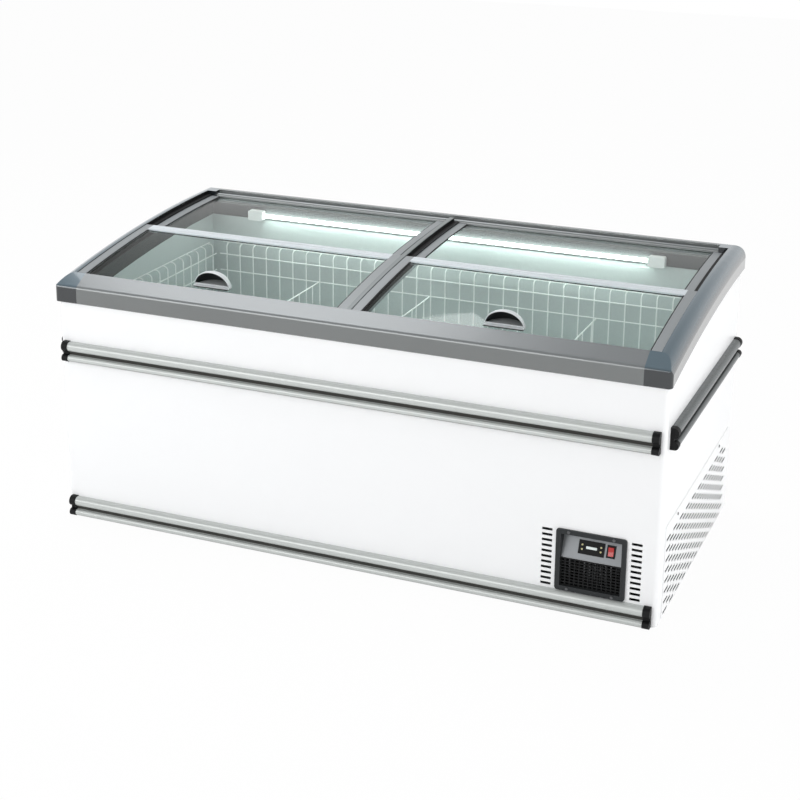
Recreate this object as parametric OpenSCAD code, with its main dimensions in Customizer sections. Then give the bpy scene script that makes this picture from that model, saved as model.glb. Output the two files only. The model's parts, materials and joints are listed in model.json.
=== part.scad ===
// Chest freezer with an arched top frame and four sliding glass lids.
// Millimetres. +Z is up, +X runs along the cabinet, the front faces -Y.
// The origin is on the floor, at the middle of the whole freezer's outline.

/* [Cabinet] */
// Length of the cabinet body, end to end
body_l = 1834; // [1600:1:2200]
// Depth of the cabinet body, front to back
body_d = 884; // [840:1:960]
// Height of the front wall, up to the lower edge of the top frame
front_h = 681; // [665:1:695]
// Height of the back wall, up to the lower edge of the top frame
back_h = 764; // [745:1:785]
// Radius of the arch that the lids slide along
arch_r = 4800; // [4300:50:6000]
// Thickness of the outer sheet panels and the base plate
sheet_t = 1.5; // [1:0.1:2]
// Radius of the body's upright corners
corner_r = 14; // [8:1:20]
// Thickness of the insulation in the walls
foam_t = 64; // [56:1:70]
// Thickness of the tank's lining
tank_t = 1.5; // [1:0.1:2]
// Height of the tank's main floor
floor_z = 112; // [90:1:140]

/* [Machine compartment] */
// Inside length of the machine compartment
machine_l = 330; // [310:1:360]
// Inside height of the machine compartment
machine_h = 263; // [258:1:280]
// Thickness of the insulation over the machine compartment
step_foam = 50; // [40:1:60]
// Width of a tube of the evaporator coil
coil_w = 8; // [6:0.5:10]
// Number of turns of the evaporator coil
coil_turns = 5; // [3:1:6]
// Distance between two turns of the evaporator coil
coil_pitch = 58; // [40:1:60]
// Radius of the compressor can
can_r = 84; // [70:1:90]
// Height of the compressor can
can_h = 176; // [150:1:190]
// Radius of the fan's blades
fan_r = 96; // [80:1:100]
// Number of blades on the fan
blade_n = 5; // [4:1:7]
// Radius of the fan motor's shaft
shaft_r = 4; // [3:0.5:5]
// Width of the condenser
condenser_l = 250; // [220:1:260]
// Depth of the condenser's fins
condenser_d = 70; // [50:1:80]
// Number of condenser fins
fin_n = 18; // [10:1:24]

/* [Top frame] */
// How far the frame stands out past the body
frame_over = 8; // [5:0.5:12]
// Height of the frame, across the arch
frame_h = 68; // [64:1:74]
// Width of the flat crest along an end rail
crest_w = 5; // [3:0.5:8]
// Width of each ledge that a lid runs on
ledge_w = 15; // [12:0.5:17]
// Drop from the crest to the upper ledge
upper_drop = 12; // [12:0.5:14]
// Drop from the upper ledge to the lower one
lower_drop = 14; // [11:0.5:16]
// Depth of the front rail, from the body's front face
front_rail_d = 46; // [42:1:54]
// Depth of the rear rail, from the body's back face
rear_rail_d = 43; // [40:1:48]
// Height of the front nose's middle above the frame's lower edge
nose_rise = 40; // [36:1:44]
// Radius of the frame's nose along the front and back
nose_r = 13; // [8:1:16]
// Radius of the frame's upright corners
frame_corner_r = 12; // [8:1:16]
// How far the frame's skirt reaches down over the panels
skirt_h = 12; // [8:1:16]
// Depth of the flat strip along the back of the rear rail
rear_strip_d = 26; // [20:1:28]
// Radius of the bead along the front of the rear rail
bead_r = 9; // [6:0.5:10]
// Width of the crest of the centre mullion
mullion_w = 14; // [12:1:24]
// Thickness of the mullion under its lower ledges
mullion_web = 10; // [8:1:14]
// Thickness of the sliding track liners
track_t = 1; // [0.8:0.1:1.2]
// Thickness of the plastic collar inside the tank's mouth
collar_t = 4; // [3:0.5:5]
// How far the collar reaches below the frame's lower edge
collar_drop = 4; // [2:0.5:12]
// Height of the collar's back band above the frame's lower edge
collar_rise = 37; // [32:1:38]

/* [Lids] */
// Thickness of the lid glass
glass_t = 4; // [3:0.5:5]
// Width of the side strips that hold the glass
strip_w = 26; // [22:1:30]
// Thickness of the strip above the glass
strip_t = 3; // [2:0.5:3]
// Thickness of the strip below the glass
strip_foot = 1.7; // [1.4:0.1:2]
// How far the strip's grip goes over the glass edge
strip_grip = 19; // [14:1:20]
// Length of a front lid, front to back
front_lid_d = 394; // [375:1:410]
// How far a front lid laps over the rear lid
lid_lap = 10; // [6:1:30]
// Width of the crossbar on a front lid's rear edge
bar_w = 38; // [26:1:44]
// Thickness of the crossbar on top of the glass
bar_t = 3.5; // [2:0.5:4]
// Thickness of the crossbar's lip behind the glass
lip_t = 4; // [3:0.5:5]
// Width of the handle's hood
hood_w = 114; // [100:1:124]
// Height and depth of the handle's hood
hood_h = 46; // [40:1:50]
// Wall thickness of the hood
hood_t = 2.5; // [2:0.1:3]
// Width of the flange round the hood's foot
hood_flange = 1.5; // [1:0.25:3]
// Depth of the lip in front of the hood
hood_lip = 7; // [5:0.5:10]
// Height of the lip above the glass
hood_lip_h = 5; // [4:0.5:8]
// Distance from a lid's front edge to the hood's lip
hood_inset = 20; // [10:1:30]

/* [Bumpers] */
// How far the bumpers stand out
bumper_out = 22; // [16:1:26]
// Height of the bumpers
bumper_h = 58; // [52:1:62]
// Height of the upper front bumper above the floor
upper_bumper_z = 499; // [440:1:540]
// Height of the lower front bumper above the floor
lower_bumper_z = 2; // [2:1:4]
// Gap between the front bumpers' ends and the body's ends
front_bumper_inset = 14; // [8:1:24]
// Gap between the side bumpers' ends and the body's front and back
side_bumper_inset = 38; // [12:1:50]
// Length of a bumper's end cap
cap_l = 20; // [14:1:28]
// How much the end cap is larger than the bumper
cap_grow = 1.5; // [1:0.25:2]

/* [Control panel] */
// Distance from the body's right end to the middle of the control panel
panel_inset = 186; // [180:1:195]
// Width of the control panel's bezel
bezel_w = 195; // [190:1:198]
// Height of the control panel's bezel
bezel_h = 179; // [174:1:184]
// Gap between the lower bumper and the bezel
bezel_gap = 2; // [1:0.5:8]
// Width of the bezel's border
bezel_border = 13; // [11:0.5:14]
// How far the bezel stands out from the front panel
bezel_t = 6; // [4:0.5:8]
// Height of the intake grille inside the bezel
grille_h = 81; // [74:1:84]
// Backward tilt of the control fascia
fascia_tilt = 24; // [18:1:28]
// Thickness of the fascia, grille and tunnel walls
panel_t = 3; // [2:0.5:3.5]
// Width of the thermostat's face
display_w = 72; // [66:1:76]
// Height of the thermostat's face
display_h = 38; // [34:1:42]
// Radius of the thermostat's buttons
button_r = 2.4; // [2:0.1:2.8]
// Travel of the thermostat's buttons
button_travel = 1.2; // [0.8:0.1:1.5]
// Width of the power switch
switch_w = 24; // [22:1:26]
// Height of the power switch
switch_h = 35; // [32:1:38]
// Half of the rocker's swing
rocker_tilt = 8; // [6:1:10]

/* [Vents and screws] */
// Number of slots in each front louvre
louvre_n = 11; // [8:1:12]
// Distance between two front louvre slots
louvre_pitch = 16; // [14:0.5:16]
// Length of a front louvre slot
louvre_l = 29; // [24:1:32]
// Height of a front louvre slot
louvre_h = 7.5; // [5:0.5:9]
// Gap between the side vent panel and the body's front and back
vent_inset = 51; // [40:1:80]
// Height of the side vent panel's upper edge above the floor
vent_top = 271; // [262:1:280]
// Length of a side vent slot
slot_l = 46; // [36:1:50]
// Height of a side vent slot
slot_h = 8; // [5:0.5:9]
// Distance between two slots of a row
slot_pitch = 73; // [66:1:80]
// Distance between two rows of slots
slot_row = 15.3; // [14:0.1:18]
// Radius of a screw's head
head_r = 4.2; // [3:0.1:5]
// Height of a screw's head
head_h = 1.8; // [1.2:0.1:2.4]
// Radius of a screw's shank
shank_r = 1.8; // [1.4:0.1:2]
// Length of a screw's shank
shank_l = 9; // [7:0.5:12]

/* [Lamp] */
// Distance from the body's ends to the lamp tube's ends
lamp_inset = 267; // [200:1:300]
// Radius of the lamp tube
tube_r = 6; // [5:0.5:8]
// Length of a lamp holder
holder_l = 52; // [40:1:60]
// Height of a lamp holder
holder_h = 32; // [26:1:34]
// Depth of a lamp holder
holder_d = 24; // [22:1:28]

/* [Wire grids] */
// Thickness of the grids' wires
wire_d = 4; // [3:0.5:5]
// Distance between two upright wires
wire_pitch = 49; // [40:1:60]
// Gap between the grids and the tank's walls
grid_gap = 30; // [24:1:36]
// Height of the grids' tops above the floor
grid_top = 670; // [650:1:690]
// Height of the upper long wire above the floor
upper_wire_z = 631; // [600:1:640]
// Distance between two long wires
long_wire_gap = 56; // [50:1:90]
// Size of the bend at the top of each upright wire
hook_bend = 14; // [10:1:20]
// Place of the left divider, as a share of the tank's length from its middle
left_divider = -0.26; // [-0.32:0.01:-0.2]
// Place of the centre divider, as a share of the tank's length from its middle
centre_divider = -0.03; // [-0.1:0.01:0.05]
// Gap between the right divider and the step over the machine compartment
right_divider_gap = 32; // [20:1:120]

/* [Hidden] */
$fn = 48;
arch_fn = 1440;
// Step between the points of a half ellipse
arc_step = 7.5;
// Number of flats round a nose
nose_steps = 12;

// Clearances
run_gap = 0.3;
fit_gap = 0.2;
shaft_gap = 0.05;
slide_gap = 2;
rise = 0.3;
// How far cuts and columns reach past what they cut
over = 100;
big = 2 * body_l;

// Body faces: the bumpers stand out further in front than the frame does behind
front_y = -body_d / 2 + (bumper_out + cap_grow - frame_over) / 2;
back_y = front_y + body_d;
mid_y = front_y + body_d / 2;
half_l = body_l / 2;

// Arch through the tops of the front and back walls
chord_l = norm([body_d, back_h - front_h]);
arch_drop = sqrt(arch_r * arch_r - chord_l * chord_l / 4);
arch_y = mid_y + arch_drop * (back_h - front_h) / chord_l;
arch_z = (front_h + back_h) / 2 - arch_drop * body_d / chord_l;
function lean(y, w = 0) = asin((arch_y - y) / (arch_r + w));
function arch_height(y, w = 0) = arch_z + sqrt((arch_r + w) * (arch_r + w) - (arch_y - y) * (arch_y - y));

// Tank
wall_t = sheet_t + foam_t + tank_t;
tank_x = half_l - wall_t;
tank_front = front_y + wall_t;
tank_back = back_y - wall_t;
bulk_x = half_l - sheet_t - machine_l;
bulk_z = sheet_t + machine_h;
step_x = bulk_x - sheet_t - step_foam - tank_t;
step_z = bulk_z + sheet_t + step_foam + tank_t;
coil_low = step_z + 20;

// Frame
frame_x = half_l + frame_over;
frame_front = front_y - frame_over;
frame_back = back_y + frame_over;
crest_x = tank_x + 2 * ledge_w;
shoulder_r = frame_x - crest_x - crest_w;
mouth_front = front_y + front_rail_d;
mouth_back = back_y - rear_rail_d;
upper_w = frame_h - upper_drop;
lower_w = upper_w - lower_drop;
mullion_low = lower_w - mullion_web;
seat_gap = 0.3;

// Lids: running heights above the frame's lower edge
upper_run = upper_w + track_t + run_gap;
lower_run = lower_w + track_t + run_gap;
front_lid_y = mouth_front + slide_gap;
front_lid_end = front_lid_y + front_lid_d;
rear_lid_y = front_lid_end - lid_lap;
rear_lid_end = mouth_back - slide_gap;
track_gap = track_t + run_gap;
glass_top = upper_run + strip_foot + glass_t;

// Control panel
panel_x = half_l - panel_inset;
bezel_z = lower_bumper_z + bumper_h + bezel_gap;
bezel_mid_z = bezel_z + bezel_h / 2;
mouth_w = bezel_w - 2 * bezel_border;
mouth_h = bezel_h - 2 * bezel_border;
mouth_z = bezel_z + bezel_border;
fascia_z = mouth_z + grille_h;
fascia_y = front_y + panel_t + 1;
fascia_h = (mouth_h - grille_h - fit_gap) / cos(fascia_tilt) - panel_t * tan(fascia_tilt);
tunnel_d = fascia_h * sin(fascia_tilt) + 2 * panel_t + 1;
display_x = -4;
switch_x = display_x + display_w / 2 + 6 + switch_w / 2;
panel_mid = fascia_h * 0.46;
button_x = display_w / 2 - 10;
button_dy = 6;
button_len = 7;
button_out = 1.6;
louvre_gap = 12;
bezel_screw_inset = 35;
bezel_screw_x = bezel_w / 2 - bezel_screw_inset;

// Machine compartment
machine_x = bulk_x + machine_l / 2;
machine_front = front_y + sheet_t;
condenser_y = front_y + tunnel_d + 18;
shroud_y = condenser_y + condenser_d;
shroud_t = 2;
fan_z = sheet_t + machine_h / 2;
fan_tip_gap = 5;
ring_d = 34;
hub_r = 30;
hub_d = 24;
motor_r = 34;
motor_d = 46;
motor_gap = 3;
fan_y = shroud_y + shroud_t + 6;
motor_y = fan_y + hub_d + motor_gap;
can_y = mid_y + body_d / 8;
grommet_h = 14;
foot_z = sheet_t + grommet_h;
stud_r = 5;
foot_over = 20;
terminal_w = 50;
terminal_h = 70;
terminal_d = 22;

// Grids
back_grid_y = tank_back - grid_gap;
front_grid_y = tank_front + grid_gap;
side_grid_x = tank_x - grid_gap;
hook_l = grid_gap - collar_t - 0.5;
weld = 1;

// Rectangle with rounded corners, centred
module rounded_rect(size, r) {
    square([size[0] - 2 * r, size[1]], center = true);
    square([size[0], size[1] - 2 * r], center = true);
    for (sx = [-1, 1], sy = [-1, 1])
        translate([sx * (size[0] / 2 - r), sy * (size[1] / 2 - r)]) circle(r);
}

// Points along an arc, from one angle to another
function arc_points(centre, r, angles) = [for (i = [0 : nose_steps])
    let (a = angles[0] + (angles[1] - angles[0]) * i / nose_steps) centre + r * [cos(a), sin(a)]];

// Box from its low corner to its high corner
module box(low, high) {
    translate(low) cube(high - low);
}

// Sweeps a profile along the arch: the profile's X is the height w above the frame's lower edge, its Y is +X
module along_arch(y_from, y_to, at_w = 0) {
    translate([0, arch_y, arch_z])
        rotate([0, 90, 0])
            rotate([0, 0, 180 + lean(y_to, at_w)])
                rotate_extrude(angle = lean(y_from, at_w) - lean(y_to, at_w), $fn = arch_fn)
                    translate([arch_r, 0]) children();
}

// Band that follows the arch between two heights
module arch_band(x, w, y, at_w = 0) {
    along_arch(y[0], y[1], at_w) translate([w[0], x[0]]) square([w[1] - w[0], x[1] - x[0]]);
}

// Everything under a height above the frame's lower edge
module under_arch(w) {
    arch_band([-big / 2, big / 2], [-back_h - over, w], [front_y - body_d, back_y + body_d]);
}

// Upright column over the body's outline, grown by a margin
module body_column(grow, height) {
    translate([0, mid_y, 0])
        linear_extrude(height)
            rounded_rect([body_l + 2 * grow, body_d + 2 * grow], corner_r + grow);
}

// Outer casing, before it is split into panels
module casing() {
    intersection() {
        difference() {
            body_column(0, back_h + frame_h);
            translate([0, 0, -1]) body_column(-sheet_t, back_h + frame_h + 2);
        }
        under_arch(skirt_h);
    }
}

module louvres() {
    first_z = bezel_mid_z - (louvre_n - 1) / 2 * louvre_pitch;
    offset_x = bezel_w / 2 + louvre_gap + louvre_l / 2;
    for (side = [-1, 1], i = [0 : louvre_n - 1])
        translate([panel_x + side * offset_x, front_y, first_z + i * louvre_pitch])
            cube([louvre_l, 6 * sheet_t, louvre_h], center = true);
}

module front_panel() {
    color("white") difference() {
        intersection() {
            casing();
            box([-big, front_y - 1, -1], [big, front_y + corner_r, big]);
        }
        translate([panel_x - mouth_w / 2 - panel_t - fit_gap, front_y - 1, mouth_z - panel_t - fit_gap])
            cube([mouth_w + 2 * (panel_t + fit_gap), corner_r, mouth_h + 2 * (panel_t + fit_gap)]);
        louvres();
        for (p = bezel_screws()) translate(p) rotate([-90, 0, 0])
            cylinder(r = shank_r + fit_gap, h = corner_r, center = true);
    }
}

module rear_panel() {
    color("white") difference() {
        intersection() {
            casing();
            box([-big, back_y - corner_r, -1], [big, back_y + 1, big]);
        }
        translate(gland_at()) rotate([90, 0, 0]) cylinder(r = gland_r + fit_gap, h = 6 * sheet_t, center = true);
    }
}

module end_panel(side) {
    color("white") intersection() {
        casing();
        box([side > 0 ? 0 : -big, front_y + corner_r, -1], [side > 0 ? big : 0, back_y - corner_r, big]);
    }
}

module left_end_panel() {
    end_panel(-1);
}

// The right end panel has a window behind the vent panel
module right_end_panel() {
    color("white") difference() {
        end_panel(1);
        box([half_l - 3 * sheet_t, mid_y - vent_l / 2 + vent_lap, vent_low + vent_lap],
            [half_l + 1, mid_y + vent_l / 2 - vent_lap, vent_top - vent_head]);
        for (p = vent_screws()) translate(p) rotate([0, 90, 0])
            cylinder(r = shank_r + fit_gap, h = 6 * sheet_t, center = true);
    }
}

module base_plate() {
    color("gainsboro") body_column(-sheet_t, sheet_t);
}

// Inside of the tank grown by its lining, with the step over the machine compartment
module tank_block(grow, top) {
    box([-tank_x - grow, tank_front - grow, floor_z - grow], [step_x + grow, tank_back + grow, top]);
    box([-tank_x - grow, tank_front - grow, step_z - grow], [tank_x + grow, tank_back + grow, top]);
}

module inner_tank() {
    color("honeydew") intersection() {
        difference() {
            tank_block(tank_t, back_h + frame_h);
            tank_block(0, big);
        }
        under_arch(skirt_h);
    }
}

// Turns of the cooling tube round the tank, joined by one upright tube at the back
module evaporator_coil() {
    out_x = tank_x + tank_t;
    color("peru") {
        for (i = [0 : coil_turns - 1])
            translate([0, 0, coil_low + i * coil_pitch]) linear_extrude(coil_w) difference() {
                translate([-out_x - coil_w, tank_front - tank_t - coil_w])
                    square([2 * (out_x + coil_w), tank_back - tank_front + 2 * (tank_t + coil_w)]);
                translate([-out_x, tank_front - tank_t])
                    square([2 * out_x, tank_back - tank_front + 2 * tank_t]);
            }
        box([out_x - 3 * coil_w, tank_back + tank_t, coil_low],
            [out_x - 2 * coil_w, tank_back + tank_t + coil_w, coil_low + (coil_turns - 1) * coil_pitch + coil_w]);
    }
}

module insulation_foam() {
    color("khaki") difference() {
        intersection() {
            translate([0, 0, sheet_t]) body_column(-sheet_t, back_h + frame_h);
            under_arch(skirt_h);
        }
        tank_block(tank_t, big);
        box([bulk_x - sheet_t, front_y, 0], [big, back_y, bulk_z + sheet_t]);
        evaporator_coil();
    }
}

module machine_bulkhead() {
    color("lightgray") intersection() {
        body_column(-sheet_t, back_h);
        difference() {
            box([bulk_x - sheet_t, front_y, sheet_t], [big, back_y, bulk_z + sheet_t]);
            box([bulk_x, front_y - 1, 0], [big + 1, back_y + 1, bulk_z]);
        }
    }
}

// Dark band inside the tank's mouth: low in front, up to the lower ledge at the ends, a little lower behind
module collar() {
    in_x = tank_x - collar_t;
    color("dimgray") difference() {
        intersection() {
            difference() {
                box([-tank_x, tank_front, front_h / 2], [tank_x, tank_back, big / 2]);
                box([-in_x, tank_front + collar_t, 0], [in_x, tank_back - collar_t, big]);
            }
            difference() {
                union() {
                    under_arch(skirt_h);
                    intersection() {
                        under_arch(lower_w);
                        box([-big, mouth_front, 0], [big, tank_back - collar_t, big]);
                    }
                    intersection() {
                        under_arch(collar_rise);
                        box([-big, tank_back - collar_t, 0], [big, big, big]);
                    }
                }
                under_arch(-collar_drop);
            }
        }
        mullion_beam();
    }
}

// Solid outline of the whole top frame: arched on top, sloping down to a low nose in front
module frame_outline() {
    shoulder_x = frame_x - shoulder_r + rise;
    back_nose_y = frame_back - nose_r;
    back_nose = [back_nose_y, arch_height(back_nose_y, frame_h - nose_r + rise)];
    front_nose = [frame_front + nose_r, front_h + nose_rise];
    brow = [mouth_front, arch_height(mouth_front, frame_h) + rise];
    reach = brow - front_nose;
    slope = atan2(reach[1], reach[0]) - asin(nose_r / norm(reach));
    intersection() {
        translate([0, mid_y, front_h / 2]) linear_extrude(big / 4)
            rounded_rect([body_l + 2 * frame_over, body_d + 2 * frame_over], frame_corner_r);
        along_arch(frame_front - over, frame_back + over) {
            translate([0, -shoulder_x]) square([frame_h, 2 * shoulder_x]);
            translate([0, -frame_x - 1]) square([frame_h - shoulder_r, 2 * frame_x + 2]);
            for (side = [-1, 1]) translate([frame_h - shoulder_r, side * shoulder_x]) intersection() {
                circle(shoulder_r, $fn = 96);
                translate([0, -shoulder_r]) square(2 * shoulder_r);
            }
        }
        rotate([90, 0, 90]) linear_extrude(big, center = true) polygon(concat(
            [[frame_front - 1, 0], [frame_front - 1, front_nose[1]]],
            arc_points(front_nose, nose_r, [180, 90 + slope]),
            [brow, [brow[0], big], [back_nose[0], big]],
            arc_points(back_nose, nose_r, [90, 0]),
            [[frame_back + 1, back_nose[1]], [frame_back + 1, 0]]
        ));
    }
}

// Where the frame sits down over the panels, foam, tank and collar
module frame_seat() {
    intersection() {
        body_column(seat_gap, back_h + frame_h);
        under_arch(skirt_h);
    }
}

// The front rail's foot reaches back under the lids to the tank
module front_rail() {
    color("slategray") difference() {
        intersection() {
            frame_outline();
            box([-tank_x, frame_front - 1, 0], [tank_x, tank_front, big]);
        }
        frame_seat();
        lid_channel();
        mullion_slot();
    }
}

// The rear rail has a foot like the front one, a back strip, and a bead in the hollow in front of the strip
module rear_rail() {
    low_w = lower_w + bead_r;
    bead_y = mouth_back + bead_r + 4;
    color("slategray") difference() {
        union() {
            difference() {
                intersection() {
                    frame_outline();
                    box([-tank_x, tank_back, 0], [tank_x, frame_back + 1, big]);
                }
                intersection() {
                    arch_band([-big / 2, big / 2], [low_w, 2 * frame_h], [tank_back - over, frame_back + over]);
                    box([-big, tank_back - 1, 0], [big, frame_back - rear_strip_d, big]);
                }
            }
            translate([-tank_x, bead_y, arch_height(bead_y, low_w)])
                rotate([0, 90, 0]) cylinder(r = bead_r, h = 2 * tank_x);
        }
        frame_seat();
        lid_channel();
        mullion_slot();
    }
}

// Space for the lids beside a rail, stepped at the two ledges
module lid_channel() {
    intersection() {
        along_arch(mouth_front - over, mouth_back + over) {
            translate([upper_w, -crest_x]) square([frame_h, 2 * crest_x]);
            translate([lower_w, ledge_w - crest_x]) square([frame_h, 2 * (crest_x - ledge_w)]);
        }
        box([-big, mouth_front, 0], [big, mouth_back, big]);
    }
}

module end_rail(side) {
    color("lightslategray") difference() {
        intersection() {
            frame_outline();
            box([side > 0 ? tank_x : -big, -big, 0], [side > 0 ? big : -tank_x, big, big]);
        }
        frame_seat();
        lid_channel();
    }
}

module left_end_rail() {
    end_rail(-1);
}

module right_end_rail() {
    end_rail(1);
}

// Notch in a rail for the mullion's end, open to the channel above it
module mullion_slot() {
    reach = mullion_w / 2 + 2 * ledge_w;
    intersection() {
        arch_band([-reach, reach], [mullion_low, frame_h], [mouth_front - over, mouth_back + over]);
        box([-big, mouth_front, 0], [big, mouth_back, big]);
    }
}

// Stepped beam between the two bays
module mullion_beam() {
    half = mullion_w / 2;
    intersection() {
        along_arch(mouth_front - over, mouth_back + over) {
            translate([mullion_low, -half]) square([frame_h - mullion_low, 2 * half]);
            translate([mullion_low, -half - ledge_w]) square([upper_w - mullion_low, 2 * (half + ledge_w)]);
            translate([mullion_low, -half - 2 * ledge_w]) square([mullion_web, 2 * (half + 2 * ledge_w)]);
        }
        box([-big, mouth_front, 0], [big, mouth_back, big]);
    }
}

module mullion() {
    color("silver") mullion_beam();
}

// One angle-shaped liner on a ledge; wall_x is the wall behind the ledge, side points from the ledge to that wall
module track_liner(wall_x, ledge, top, side) {
    intersection() {
        along_arch(mouth_front - over, mouth_back + over) {
            translate([ledge, min(wall_x, wall_x - side * ledge_w)]) square([track_t, ledge_w]);
            translate([ledge, min(wall_x, wall_x - side * track_t)]) square([top - ledge, track_t]);
        }
        box([-big, mouth_front, 0], [big, mouth_back, big]);
    }
}

module track_liners() {
    half = mullion_w / 2;
    color("black") for (bay = [-1, 1]) {
        track_liner(bay * crest_x, upper_w, frame_h - 2, bay);
        track_liner(bay * (crest_x - ledge_w), lower_w, upper_w - 1, bay);
        track_liner(bay * half, upper_w, frame_h - 2, -bay);
        track_liner(bay * (half + ledge_w), lower_w, upper_w - 1, -bay);
    }
}

// Lid parts are made for the right bay, between two track walls, and mirrored for the left bay
module for_bay(bay) {
    mirror([bay < 0 ? 1 : 0, 0, 0]) children();
}

function upper_walls() = [mullion_w / 2 + track_gap, crest_x - track_gap];
function lower_walls() = [mullion_w / 2 + ledge_w + track_gap, crest_x - ledge_w - track_gap];

// Curved glass pane of a lid
module lid_glass(walls, run, y) {
    edge = strip_w - strip_grip;
    low = run + strip_foot;
    arch_band([walls[0] + edge, walls[1] - edge], [low, low + glass_t], y, low + glass_t);
}

// Two channel strips that hold the sides of a pane
module lid_strips(walls, run, y) {
    top = run + strip_foot + glass_t + strip_t;
    color("lightgray") difference() {
        for (x = [walls[0], walls[1] - strip_w]) arch_band([x, x + strip_w], [run, top], y, top);
        lid_glass(walls, run, [y[0] - over, y[1] + over]);
    }
}

// Part of a spheroid, turned about the line where the hood's mouth meets the glass
module hood_form(grow, angle) {
    rotate([0, 90, 0]) rotate([0, 0, 90]) rotate_extrude(angle = angle, $fn = 96)
        polygon([for (t = [0 : arc_step : 180]) [(hood_h + grow) * sin(t), (hood_w / 2 + grow) * cos(t)]]);
}

// Puts a part square on the glass near a lid's front edge: its flat foot touches along the hood's middle
module on_lid_front() {
    foot_middle = (hood_h - hood_lip) / 2;
    y = front_lid_y + hood_inset + hood_lip + foot_middle;
    x = (upper_walls()[0] + upper_walls()[1]) / 2;
    translate([x, y, arch_height(y, glass_top)])
        rotate([lean(y, glass_top), 0, 0])
            translate([0, -foot_middle, 0]) children();
}

module front_glass(bay) {
    color([0.75, 0.88, 0.82, 0.4]) for_bay(bay)
        lid_glass(upper_walls(), upper_run, [front_lid_y, front_lid_end - lip_t]);
}

module front_strips(bay) {
    for_bay(bay) lid_strips(upper_walls(), upper_run, [front_lid_y, front_lid_end]);
}

// Bar along the rear edge of a front lid, with a lip behind the glass
module crossbar(bay) {
    low = upper_run + strip_foot;
    top = low + glass_t + bar_t;
    x = [upper_walls()[0] + strip_w, upper_walls()[1] - strip_w];
    color("whitesmoke") for_bay(bay) {
        arch_band(x, [low + glass_t, top], [front_lid_end - bar_w, front_lid_end], top);
        arch_band(x, [upper_run, top], [front_lid_end - lip_t, front_lid_end], top);
    }
}

// Half-moon hood, open to the front, with a lip along its mouth and a flange round its foot
module handle(bay) {
    color("dimgray") for_bay(bay) on_lid_front() {
        difference() {
            hood_form(0, 90);
            hood_form(-hood_t, 100);
        }
        linear_extrude(hood_t)
            polygon([for (t = [0 : arc_step : 180])
                [(hood_w / 2 + hood_flange) * cos(t), (hood_h + hood_flange) * sin(t)]]);
        translate([-hood_w / 2, -hood_lip, 0]) cube([hood_w, hood_lip + hood_t, hood_lip_h]);
    }
}

module rear_glass(bay) {
    color([0.75, 0.88, 0.82, 0.4]) for_bay(bay) lid_glass(lower_walls(), lower_run, [rear_lid_y, rear_lid_end]);
}

module rear_strips(bay) {
    for_bay(bay) lid_strips(lower_walls(), lower_run, [rear_lid_y, rear_lid_end]);
}

module front_left_glass() { front_glass(-1); }
module front_left_strips() { front_strips(-1); }
module front_left_crossbar() { crossbar(-1); }
module front_left_handle() { handle(-1); }
module front_right_glass() { front_glass(1); }
module front_right_strips() { front_strips(1); }
module front_right_crossbar() { crossbar(1); }
module front_right_handle() { handle(1); }
module rear_left_glass() { rear_glass(-1); }
module rear_left_strips() { rear_strips(-1); }
module rear_right_glass() { rear_glass(1); }
module rear_right_strips() { rear_strips(1); }

// Bumper section: X stands out from the wall, Y is up; two ribs with a hollow between them
module bumper_section(grow) {
    upper_r = bumper_h * 0.24;
    lower_r = bumper_h * 0.16;
    core = bumper_out * 0.4;
    intersection() {
        union() {
            translate([bumper_out - upper_r, bumper_h - upper_r]) circle(upper_r + grow);
            translate([bumper_out - lower_r, lower_r]) circle(lower_r + grow);
            translate([0, lower_r]) square([core + grow, bumper_h - upper_r - lower_r]);
            translate([0, -grow]) square([bumper_out - lower_r, lower_r + grow]);
            translate([0, bumper_h - upper_r]) square([bumper_out - upper_r, upper_r + grow]);
        }
        translate([0, -bumper_h]) square([2 * bumper_out, 3 * bumper_h]);
    }
}

// Lays a length of the section along +X, from the origin, standing out towards -Y
module bumper_length(length, grow = 0) {
    rotate([90, 0, 90]) mirror([1, 0, 0]) linear_extrude(length) bumper_section(grow);
}

// One bumper between its two end caps, and the caps themselves
module bumper_run(total) {
    translate([-total / 2 + cap_l, 0, 0]) bumper_length(total - 2 * cap_l);
}

module bumper_caps(total) {
    for (x = [-total / 2, total / 2 - cap_l]) translate([x, 0, 0]) bumper_length(cap_l, cap_grow);
}

front_bumper_l = body_l - 2 * front_bumper_inset;
side_bumper_l = body_d - 2 * side_bumper_inset;

module on_front(z) {
    translate([0, front_y, z]) children();
}

module on_end(side, z) {
    translate([side * half_l, mid_y, z]) rotate([0, 0, side * 90]) children();
}

module upper_front_bumper() {
    color("gray") on_front(upper_bumper_z) bumper_run(front_bumper_l);
}

module lower_front_bumper() {
    color("gray") on_front(lower_bumper_z) bumper_run(front_bumper_l);
}

module left_bumper() {
    color("gray") on_end(-1, upper_bumper_z) bumper_run(side_bumper_l);
}

module right_bumper() {
    color("gray") on_end(1, upper_bumper_z) bumper_run(side_bumper_l);
}

module bumper_end_caps() {
    color("black") {
        for (z = [upper_bumper_z, lower_bumper_z]) on_front(z) bumper_caps(front_bumper_l);
        for (side = [-1, 1]) on_end(side, upper_bumper_z) bumper_caps(side_bumper_l);
    }
}

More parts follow.
